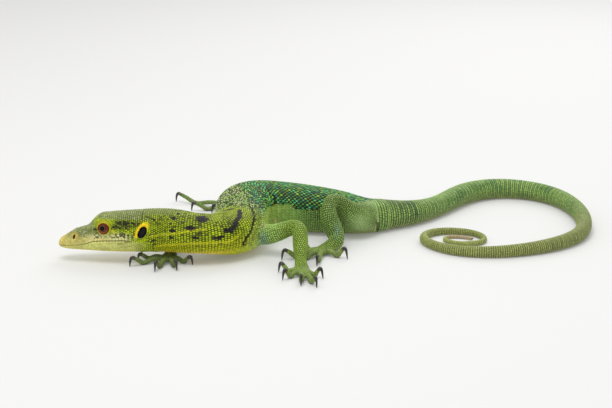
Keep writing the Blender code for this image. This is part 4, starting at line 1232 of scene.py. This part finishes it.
class Coat:
    """The scales' roots, gathered strand by strand."""

    def __init__(self, skin, points, strand_of, strands, shares):
        self.strands, self.strand_of, self.shares = strands, strand_of, shares
        self.faces = [np.array(p.vertices) for p in skin.data.polygons]
        self.normals = vertex_normals(skin.data)
        self.tree = BVHTree.FromPolygons([tuple(p) for p in points], [tuple(f) for f in self.faces])
        self.rows = {}
        self.spine = {strand_index(strands, "body"), strand_index(strands, "tail")}

    def find(self, start, way):
        """The skin's point, normal and face where a ray meets it."""
        spot, _, face, _ = self.tree.ray_cast(Vector(start), Vector(way), 60.0)
        if spot is None:
            return None
        normal = self.normals[self.faces[face]].mean(axis=0)
        return np.array(spot), normal / np.linalg.norm(normal), face

    def add(self, group, found, ahead, length, width, height, chart, kind=0):
        """One scale's root: it lies along the skin in the direction nearest to ahead."""
        root, normal, face = found
        lie = ahead - normal * (ahead @ normal)
        reach = np.linalg.norm(lie)
        if reach > 0.2:
            shares = self.shares[self.faces[face]].mean(axis=0)
            self.rows.setdefault(group, []).append(
                (*root, *normal, *(lie / reach), length, width, height, *chart, *shares, kind))

    def spots(self, index, where, arcs):
        """(found, arc, share of the girth, stretch, way ahead) of scales at arcs from the back's midline."""
        strand = self.strands[index]
        centre, across, rise, ahead, outline = strand.section(where)
        half = outline.shape[0] // 2
        side = np.vstack([outline[:1] * (0, 1), outline[:half], outline[half - 1 : half] * (0, 1)])
        run = np.concatenate([[0], np.cumsum(np.linalg.norm(np.diff(side, axis=0), axis=1))])
        low, high = max(where - 1, 0), min(where + 1, len(strand.centres) - 1.01)
        step = np.linalg.norm(strand.section(high)[0] - strand.section(low)[0])
        pull = np.linalg.norm(strand.ring(high) - strand.ring(low), axis=1) / step
        pulls = {hand: np.pad(pull[::hand][:half], 1, mode="edge") for hand in (1, -1)}
        for at in arcs(run[-1]):
            if at > run[-1]:
                continue
            for hand in (1, -1) if 0 < at < run[-1] else (1,):
                x, y = np.interp(at, run, side[:, 0]), np.interp(at, run, side[:, 1])
                way = hand * x * across + y * rise
                found = self.find(centre, way / np.linalg.norm(way))
                if found is None:
                    continue
                owner = int(np.bincount(self.strand_of[self.faces[found[2]]]).argmax())
                if owner == index or {owner, index} == self.spine:
                    local = float(np.interp(at, run, pulls[hand]))
                    yield found, at, hand * at / run[-1], local, ahead

    def ring(self, index, group, number, where, style, chart):
        """Scales in one ring round a strand, set out from the back's midline on both sides."""
        pitch, across, fill, tall, accept = style

        def arcs(last):
            count = max(2, int(round(last / across)))
            shake = rng.uniform(-0.14, 0.14, count + 1)
            steps = np.arange(count + 1)
            return (steps + 0.5 * (number % 2) + shake * (steps > 0)) * last / count

        strand = self.strands[index]
        along = strand.along(where)
        for found, at, share, local, ahead in self.spots(index, where + rng.uniform(-0.05, 0.05), arcs):
            if (local < SQUEEZED and number % 2) or not accept(found[0]):
                continue
            room = local * (2 if local < SQUEEZED else 1)
            size = 1 + rng.uniform(-0.1, 0.1)
            spot = (chart[0] + chart[1] * along, 0.5 + 0.5 * share * chart[2] + chart[3])
            long = pitch * min(room, 1.6) * fill[0]
            self.add(group, found, ahead, long * size, across * fill[1] * size, tall, spot)

    def back_ring(self, index, row, where, on_back, chart):
        """One row of the back: ovals on their cells' middles, and a black granule between two."""
        arcs = lambda last: np.arange(int(last / (BACK_CELL / 2))) * BACK_CELL / 2
        along = self.strands[index].along(where)
        for found, at, share, local, ahead in self.spots(index, where, arcs):
            if not on_back(found[0]) or (local < BACK_SQUEEZED and row % 4 > 1):
                continue
            number = int(round(at / (BACK_CELL / 2)))
            oval = (number + row) % 2 == 0
            size = 1 + rng.uniform(-0.14, 0.08)
            long, wide = (1.04 * float(np.clip(local, 0.8, 1.3)), 0.6) if oval else (0.36, 0.38)
            spot = (chart[0] + chart[1] * along, 0.5 + 0.5 * share)
            self.add("back", found, ahead, long * size, wide * size, 0.22 if oval else 0.15, spot,
                     1 if oval else 2)


def cover(coat, name, group, start, end, style, chart):
    """Rings of scales along a strand from one distance to another."""
    index = strand_index(coat.strands, name)
    strand = coat.strands[index]
    at, number = start, 0
    while at < end:
        now = tuple(value(at) if callable(value) and k < 4 else value for k, value in enumerate(style))
        where = np.interp(at, strand.where, np.arange(len(strand.where)))
        coat.ring(index, group, number, where, now, chart)
        at += now[0]
        number += 1


def off_openings(root):
    """Leaves the head's openings and the lips' line free of scales."""
    m = head_masks(root[None])
    if m["eye"][0] < 4.9 or m["ear"][0] < 1.2 or m["nostril"][0] < 1.6:
        return False
    return not (abs(m["mouth"][0]) < 1.7 and m["a"][0] < MOUTH_END - 1)


# The rings of granules round the eye: radius, pitch and height.
LID_ROWS = ((3.42, 0.5, 0.12), (3.98, 0.6, 0.15), (4.62, 0.72, 0.16), (5.3, 0.86, 0.16))


def head_extras(coat):
    """Rows of plates along both lips, and small granules round the eyes and ears."""
    for side in (1, -1):
        inward = -side * HEAD_LEFT
        for lip in (1, -1):
            at = 1.6
            while at < MOUTH_END - 1.5:
                step = 1.1 + 0.6 * float(smoothstep(2, 8, at))
                height = float(profile(MOUTH_LINE, at)) + lip * 0.9
                plate(coat, head_point(at, side * BESIDE, height), inward, step * 0.5, 0.78, 0.2,
                      (at / HEAD_LENGTH, 0.5 + 0.2 * side + 0.01 * lip))
                at += step
        for radius, pitch, tall in LID_ROWS:
            count = int(2 * math.pi * radius / pitch)
            for k in range(count):
                turn = 2 * math.pi * (k + 0.5 * (3.5 < radius < 4.2)) / count
                stand = head_point(EYE_AT[0] + radius * math.cos(turn), side * BESIDE,
                                   EYE_AT[1] + radius * math.sin(turn))
                plate(coat, stand, inward, pitch * 0.5, pitch * 0.5, tall,
                      (0.5 + 0.02 * radius, 0.5 + 0.3 * side))
        for share, pitch in ((1.36, 0.75), (1.7, 0.9)):
            count = int(2 * math.pi * 2.8 * share / pitch)
            for k in range(count):
                turn = 2 * math.pi * k / count
                x, y = EAR_SIZE[0] * share * math.cos(turn), EAR_SIZE[1] * share * math.sin(turn)
                a = EAR_AT[0] + x * math.cos(EAR_LEAN) - y * math.sin(EAR_LEAN)
                h = EAR_AT[1] + x * math.sin(EAR_LEAN) + y * math.cos(EAR_LEAN)
                plate(coat, head_point(a, side * BESIDE, h), inward, pitch * 0.5, pitch * 0.5, 0.14,
                      (0.88 + 0.03 * share, 0.5 + 0.3 * side))


def plate(coat, stand, inward, length, width, tall, chart):
    """One plate of the head, found by a ray from beside it."""
    found = coat.find(stand, inward)
    if found is not None:
        coat.add("head", found, HEAD_BACK, length, width, tall, chart)


def chart_of(start, end):
    """A piece's place on the unwrapped skin between two distances: offset, slope, width and shift."""
    return -start / (end - start), 1 / (end - start), 1.0, 0.0


def anywhere(root):
    return True


def gather_scales(skin, points, strand_of, strands, shares, marks):
    coat = Coat(skin, points, strand_of, strands, shares)
    body = strands[strand_index(strands, "body")]
    tail = strands[strand_index(strands, "tail")]

    def on_back(root):
        flat, _ = flat_place(body, root[None])
        return marks.back(root[None], flat[:, 0], noise(root[None], *BODY_CLOUD))[0] > 0.5

    head_chart = (0.0, 1 / (HEAD_LENGTH + 4), 1.0, 0.0)
    snout = (lambda s: 0.85 + 0.2 * s / SNOUT_SCALES, 1.0, (0.5, 0.5), 0.16, off_openings)
    crown = (1.12, 1.12, (0.5, 0.5), 0.2, off_openings)
    cover(coat, "head", "head", 1.2, SNOUT_SCALES, snout, head_chart)
    cover(coat, "head", "head", SNOUT_SCALES, HEAD_LENGTH + 4, crown, head_chart)
    head_extras(coat)
    length = body.where[-1]
    cuts = (0.0, *TRUNK_CUTS, length)
    for number, (start, end) in enumerate(zip(cuts, cuts[1:]), 1):
        chart = chart_of(start, end)
        neck = number == 1
        skin_style = (1.2 if neck else 1.08, 1.16 if neck else 1.05, (0.5, 0.49), 0.22 if neck else 0.19,
                      lambda root: off_openings(root) and not on_back(root))
        last = end if number < 4 else end - TAIL_RINGS
        cover(coat, "body", f"trunk_{number}", start, last, skin_style, chart)
        if number == 4:
            ringed = (1.62, 0.95, (0.42, 0.5), 0.2, lambda root: not on_back(root))
            cover(coat, "body", "trunk_4", last, end, ringed, chart)
    # The back's ovals lie on the lattice of its pattern, with black granules between them.
    row = int(math.ceil(BACK_STARTS / BACK_ROW))
    while row * BACK_ROW < length:
        where = np.interp(row * BACK_ROW, body.where, np.arange(len(body.where)))
        coat.back_ring(strand_index(strands, "body"), row, where, on_back, chart_of(BACK_STARTS, length)[:2])
        row += 1
    # The folds stay open: no scale stands over their lines.
    for group in ("trunk_1", "trunk_2", "trunk_3", "trunk_4"):
        rows = np.array(coat.rows[group])
        flat, _ = flat_place(body, rows[:, :3])
        away = np.min([line_distance(flat, marks.lines[name]) for name in ("gular", "short", "vent")], axis=0)
        coat.rows[group] = rows[away > FOLD_CLEARANCE]
    total = tail.where[-1]
    tall = lambda s: 0.2 - 0.09 * s / total
    pitch = lambda s: 1.62 - 0.6 * s / total
    across = lambda s: 0.95 - 0.3 * s / total
    style = (pitch, across, (0.42, 0.5), tall, anywhere)
    cover(coat, "tail", "tail_near", 0.0, TAIL_CUT, style, chart_of(0, TAIL_CUT))
    cover(coat, "tail", "tail_far", TAIL_CUT, total - 1, style, chart_of(TAIL_CUT, total))
    for k, limb in enumerate(LIMBS):
        strand = strands[strand_index(strands, limb)]
        group = "arms" if "arm" in limb else "legs"
        chart = (0, 0.62 / strand.where[-1], 0.45, -0.25 + 0.5 * (k % 2))
        cover(coat, limb, group, 0.5, strand.where[-1] - 0.5, (1.2, 1.14, (0.47, 0.47), 0.2, anywhere), chart)
    for j, foot in enumerate(FEET):
        group = "arms" if "hand" in foot else "legs"
        for number in range(1, 6):
            name = f"{foot}_{number}"
            strand = strands[strand_index(strands, name)]
            chart = (0.64, 0.36 / strand.where[-1], 0.08, -0.45 + (2 * (number - 1) + j % 2) / 10)
            style = (0.84, 0.76, (0.5, 0.5), 0.13, anywhere)
            cover(coat, name, group, 0.5, strand.where[-1] - 0.2, style, chart)
    return coat


def scale_piece(name, rows, marks, pattern):
    """One joined mesh of scales with their colours and their places on the unwrapped skin."""
    rows = np.array(rows)
    root, normal, lie = rows[:, 0:3], rows[:, 3:6], rows[:, 6:9]
    length, width, height = rows[:, 9], rows[:, 10], rows[:, 11]
    chart, shares, kind = rows[:, 12:14], rows[:, 14:18], rows[:, 18]
    shape, shade, faces = pattern
    side = np.cross(normal, lie)
    lot = rng.random(len(rows))
    colour, gap = marks.paint(root, shares, lot)
    oval = kind == 1
    colour[oval] = marks.oval_tint(lot[oval]) * (0.3 + 0.95 * rng.random(oval.sum()) ** 1.3)[:, None]
    gap[oval] = 0.85
    # Each scale leans back over the next one: its rear edge stands higher than its front.
    lift = shape[:, 2][None] + 0.28 * shape[:, 0][None] * (shape[:, 2] > 0)[None]
    corners = (root[:, None]
               + lie[:, None] * (shape[:, 0][None] * length[:, None])[..., None]
               + side[:, None] * (shape[:, 1][None] * width[:, None])[..., None]
               + normal[:, None] * (lift * height[:, None])[..., None])
    corners[..., 2] = np.maximum(corners[..., 2], SCALE_FLOOR)
    count, each = len(rows), len(shape)
    faces = (faces[None] + (np.arange(count) * each)[:, None, None]).reshape(-1, 3)
    made = new_object(name, seat(corners.reshape(-1, 3)), faces.tolist())
    dark = 1 - GAP_SHADE * gap[:, None] * (1 - shade)[None]
    tint = np.ones((count * each, 4))
    tint[:, :3] = (colour[:, None] * dark[..., None]).reshape(-1, 3)
    layer = made.data.color_attributes.new("Col", "FLOAT_COLOR", "POINT")
    layer.data.foreach_set("color", tint.astype(np.float32).reshape(-1))
    uv = made.data.uv_layers.new(name="OFBake")
    patch = np.clip(chart, 0.002, 0.998)[:, None] + shape[None, :, :2] * 0.0015
    corner = np.empty(len(made.data.loops), np.int32)
    made.data.loops.foreach_get("vertex_index", corner)
    uv.data.foreach_set("uv", patch.reshape(-1, 2)[corner].astype(np.float32).reshape(-1))
    made.data.shade_smooth()
    return made


# Eyes and claws


def build_eye(name, side):
    """An eyeball whose rings of faces run round its gaze, so that the pupil and iris have clean edges."""
    gaze = HEAD_LEFT * side * 0.985 - HEAD_BACK * 0.12 + UP * 0.1
    gaze /= np.linalg.norm(gaze)
    across = np.cross(UP, gaze)
    across /= np.linalg.norm(across)
    upward = np.cross(gaze, across)
    centre = head_point(EYE_AT[0], side * EYE_OUT, EYE_AT[1])
    radius = EYE_RADIUS - 0.04
    angles = np.radians(np.concatenate([np.linspace(0.5, 17, 8), [18.6], np.linspace(21, 50, 18),
                                        np.linspace(53, 66, 7), np.linspace(72, 176, 14)]))
    turn = 2 * math.pi * np.arange(EYE_AROUND) / EYE_AROUND
    pupil, iris = math.radians(PUPIL_EDGE), math.radians(IRIS_EDGE)
    rings, colours = [], []
    for angle in angles:
        ring = centre + radius * (math.cos(angle) * gaze + math.sin(angle) * (
            np.cos(turn)[:, None] * across + np.sin(turn)[:, None] * upward))
        rings.append(ring)
        share = (angle - pupil) / (iris - pupil)
        streak = 0.5 + 0.5 * np.sin(turn * 23 + 4 * np.sin(turn * 5)) * np.sin(turn * 41 + 2)
        if angle < pupil:
            colour = np.tile(PUPIL_BLACK, (EYE_AROUND, 1))
        elif angle < iris:
            base = mix(IRIS_DARK, IRIS, np.full(EYE_AROUND, smoothstep(0.1, 0.65, share)))
            base = mix(base, IRIS_RIM, np.full(EYE_AROUND, smoothstep(0.75, 1.0, share)))
            lit = smoothstep(0.2, -0.9, np.sin(turn))
            base = mix(base, IRIS_LIT, 0.5 * lit * smoothstep(0.2, 0.6, share))
            base = mix(base, base * 1.5, streak * 0.5)
            ring_line = np.full(EYE_AROUND, float(bell(share - 0.06, 0.07)))
            colour = mix(base, IRIS_RING, ring_line * 0.7)
        else:
            colour = np.tile(EYE_BLACK, (EYE_AROUND, 1))
        colours.append(colour)
    rings = np.array(rings)
    made = new_object(name, place(rings.reshape(-1, 3)), tube_mesh(rings))
    paint_points(made, np.array(colours).reshape(-1, 3))
    made.data.shade_smooth()
    return made


def paint_points(made, colours):
    tint = np.ones((len(colours), 4), np.float32)
    tint[:, :3] = colours
    layer = made.data.color_attributes.new("Col", "FLOAT_COLOR", "POINT")
    layer.data.foreach_set("color", tint.reshape(-1))


def build_claws(foot):
    """The hooked claws of one foot, each a smooth horn from its digit's end down to the floor."""
    _, palm, _, _, digits = FEET[foot]
    points, faces, colours = [], [], []
    for angle, reach, radius, rise in digits:
        route = digit_route(palm, angle, reach, radius, rise)
        length = CLAW_LENGTH * rise
        start = route.at(route.length)[:3]
        ahead = start - route.at(route.length - 0.3)[:3]
        ahead /= np.linalg.norm(ahead)
        out = np.array([math.cos(math.radians(angle)), math.sin(math.radians(angle)), 0.0])
        first = start + ahead * CLAW_GAP
        drop = first[2] - CLAW_TIP_HEIGHT - CLAW_TIP
        last = first + out * math.sqrt(max(length**2 - drop**2, 1.0)) * 0.42 - UP * drop
        knee = first + ahead * length * 0.3
        root = start - ahead * 0.8
        rings, tints = [], []
        side = np.cross(UP, out)
        stages = np.concatenate([[-CLAW_BASE, -CLAW_BASE / 2], np.linspace(0, 1, 15)])
        for t in stages:
            if t < 0:
                spot, run = first + (root - first) * (-t / CLAW_BASE), ahead
            else:
                spot = (1 - t) ** 2 * first + 2 * t * (1 - t) * knee + t * t * last
                run = 2 * (1 - t) * (knee - first) + 2 * t * (last - knee)
                run = run / np.linalg.norm(run)
            over = np.cross(run, side)
            size = CLAW_TIP * 0.7 + (CLAW_RADIUS * 0.98 - CLAW_TIP) * (1 - max(t, 0)) ** CLAW_TAPER
            outline = superellipse(CLAW_SIDES, size * CLAW_NARROW, size, size, 1.8, 2.2)
            rings.append(spot + outline[:, :1] * side + outline[:, 1:] * over)
            tint = mix(CLAW_BROWN, CLAW_BLACK, float(smoothstep(-0.1, 0.35, t)))
            tints.append(np.tile(tint, (CLAW_SIDES, 1)))
        rings = np.array(rings)
        rings[..., 2] = np.maximum(rings[..., 2], CLAW_FLOOR)
        faces += tube_mesh(rings, sum(len(p) for p in points))
        points.append(rings.reshape(-1, 3))
        colours.append(np.array(tints).reshape(-1, 3))
    made = new_object(f"claws_{foot}", seat(np.concatenate(points)), faces)
    paint_points(made, np.concatenate(colours))
    made.data.shade_smooth()
    return made


# Materials

# The darkest and lightest shade of the fine grain, and how far it moves the roughness and the surface.
GRAIN_SHADES = (0.82, 1.16)
GLOSS_SPREAD = 0.08
BUMP_DEPTH = 0.0001


def set_inputs(node, **values):
    """Sets a node's inputs, whose names are written with _ for each space."""
    for name, value in values.items():
        node.inputs[name.replace("_", " ")].default_value = value


def painted(name, roughness, grain, bump, coat=0.0, specular=0.5):
    """A surface coloured by its points, with fine grain in its colour, roughness and relief."""
    made = bpy.data.materials.new(name)
    made.use_nodes = True
    tree = made.node_tree
    shader = tree.nodes["Principled BSDF"]
    paint = tree.nodes.new("ShaderNodeAttribute")
    paint.attribute_name = "Col"
    place_node = tree.nodes.new("ShaderNodeTexCoord")
    fine = tree.nodes.new("ShaderNodeTexNoise")
    set_inputs(fine, Scale=grain, Detail=4.0)
    tree.links.new(place_node.outputs["Object"], fine.inputs["Vector"])
    shade = tree.nodes.new("ShaderNodeMapRange")
    set_inputs(shade, From_Min=0.3, From_Max=0.7, To_Min=GRAIN_SHADES[0], To_Max=GRAIN_SHADES[1])
    tree.links.new(fine.outputs["Fac"], shade.inputs["Value"])
    tone = tree.nodes.new("ShaderNodeVectorMath")
    tone.operation = "SCALE"
    tree.links.new(paint.outputs["Color"], tone.inputs[0])
    tree.links.new(shade.outputs["Result"], tone.inputs["Scale"])
    tree.links.new(tone.outputs["Vector"], shader.inputs["Base Color"])
    gloss = tree.nodes.new("ShaderNodeMapRange")
    set_inputs(gloss, To_Min=max(roughness - GLOSS_SPREAD, 0.02), To_Max=roughness + GLOSS_SPREAD)
    tree.links.new(fine.outputs["Fac"], gloss.inputs["Value"])
    tree.links.new(gloss.outputs["Result"], shader.inputs["Roughness"])
    if bump:
        relief = tree.nodes.new("ShaderNodeBump")
        set_inputs(relief, Strength=bump, Distance=BUMP_DEPTH)
        tree.links.new(fine.outputs["Fac"], relief.inputs["Height"])
        tree.links.new(relief.outputs["Normal"], shader.inputs["Normal"])
    set_inputs(shader, Coat_Weight=coat, Coat_Roughness=0.03, Specular_IOR_Level=specular)
    return made


# Stage

FLOOR_REACH = 3
PAPER = (0.605, 0.605, 0.6, 1)
STUDIO_WHITE = (1.0, 0.995, 0.98, 1)
# Each lamp looks at the origin: its name, place, size and power.
LAMPS = (("key", (-0.15, -0.25, 0.95), 0.6, 4.4), ("back", (0.3, 0.75, 0.7), 0.8, 3.0))


def build_stage():
    """A pale floor under soft studio light, and the photograph's camera."""
    corners = np.array([(-1, -1, 0), (1, -1, 0), (1, 1, 0), (-1, 1, 0)], float) * FLOOR_REACH
    floor = new_object("floor", corners, [(0, 1, 2, 3)])
    paper = bpy.data.materials.new("floor paper")
    paper.use_nodes = True
    shader = paper.node_tree.nodes["Principled BSDF"]
    set_inputs(shader, Base_Color=PAPER, Emission_Color=STUDIO_WHITE, Emission_Strength=0.12, Roughness=0.85)
    floor.data.materials.append(paper)
    world = bpy.data.worlds.new("studio")
    world.use_nodes = True
    set_inputs(world.node_tree.nodes["Background"], Color=STUDIO_WHITE, Strength=0.8)
    bpy.context.scene.world = world
    for name, spot, size, power in LAMPS:
        lamp = bpy.data.lights.new(name, "AREA")
        lamp.shape = "DISK"
        lamp.size = size
        lamp.energy = power
        made = bpy.data.objects.new(name, lamp)
        made.location = spot
        made.rotation_euler = (-Vector(spot)).to_track_quat("-Z", "Y").to_euler()
        bpy.context.scene.collection.objects.link(made)
    camera = bpy.data.cameras.new("camera")
    camera.lens = LENS
    camera.sensor_width = SENSOR
    camera.clip_start = 0.01
    made = bpy.data.objects.new("camera", camera)
    made.location = place(np.array(CAMERA_AT))
    made.rotation_euler = (math.pi / 2 - CAMERA_PITCH, 0, 0)
    bpy.context.scene.collection.objects.link(made)
    bpy.context.scene.camera = made
    bpy.context.scene.view_settings.view_transform = "Standard"
    bpy.context.scene.view_settings.look = "None"


def build():
    strands = [head_sections(), body_strand(), tail_strand(), *limb_strands().values()]
    skin, points, strand_of, marks = build_skin(strands)
    shares = blend_shares(points, mesh_edges(skin.data), strand_of, strands)
    colour, gap = marks.paint(points, shares, np.full(len(points), 0.5))
    bare = head_masks(points)
    covered = np.where((bare["eye"] < 3.3) | (bare["ear"] < 1.15) | (bare["nostril"] < 1.5), 0, 1)
    paint_points(skin, colour * (1 - GAP_SHADE * gap * covered)[:, None])
    coat = gather_scales(skin, points, strand_of, strands, shares, marks)
    set_points(skin.data, seat(points))
    skin_finish = painted("skin", 0.5, 900, 0.25, specular=0.22)
    scale_finish = painted("scales", 0.42, 500, 0.0, specular=0.22)
    skin.data.materials.clear()
    skin.data.materials.append(skin_finish)
    flesh = [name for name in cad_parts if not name.startswith(("eye_", "claw_"))]
    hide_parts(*flesh)
    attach(skin, "root")
    for group, rows in coat.rows.items():
        piece = scale_piece(f"scales_{group}", rows, marks, PLATE if group in ("head", "back") else GRANULE)
        piece.data.materials.append(scale_finish)
        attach(piece, "root")
    wet = painted("eye", 0.08, 700, 0.0, specular=0.16)
    for name, side in (("eye_left", 1), ("eye_right", -1)):
        eye = build_eye(f"globe_{name[4:]}", side)
        eye.data.materials.append(wet)
        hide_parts(name)
        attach(eye, "root")
    horn = painted("claw horn", 0.2, 900, 0.15, coat=0.3)
    for foot in FEET:
        claws = build_claws(foot)
        claws.data.materials.append(horn)
        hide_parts(*[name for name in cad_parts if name.startswith(f"claw_{foot}_")])
        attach(claws, "root")
    build_stage()


build()
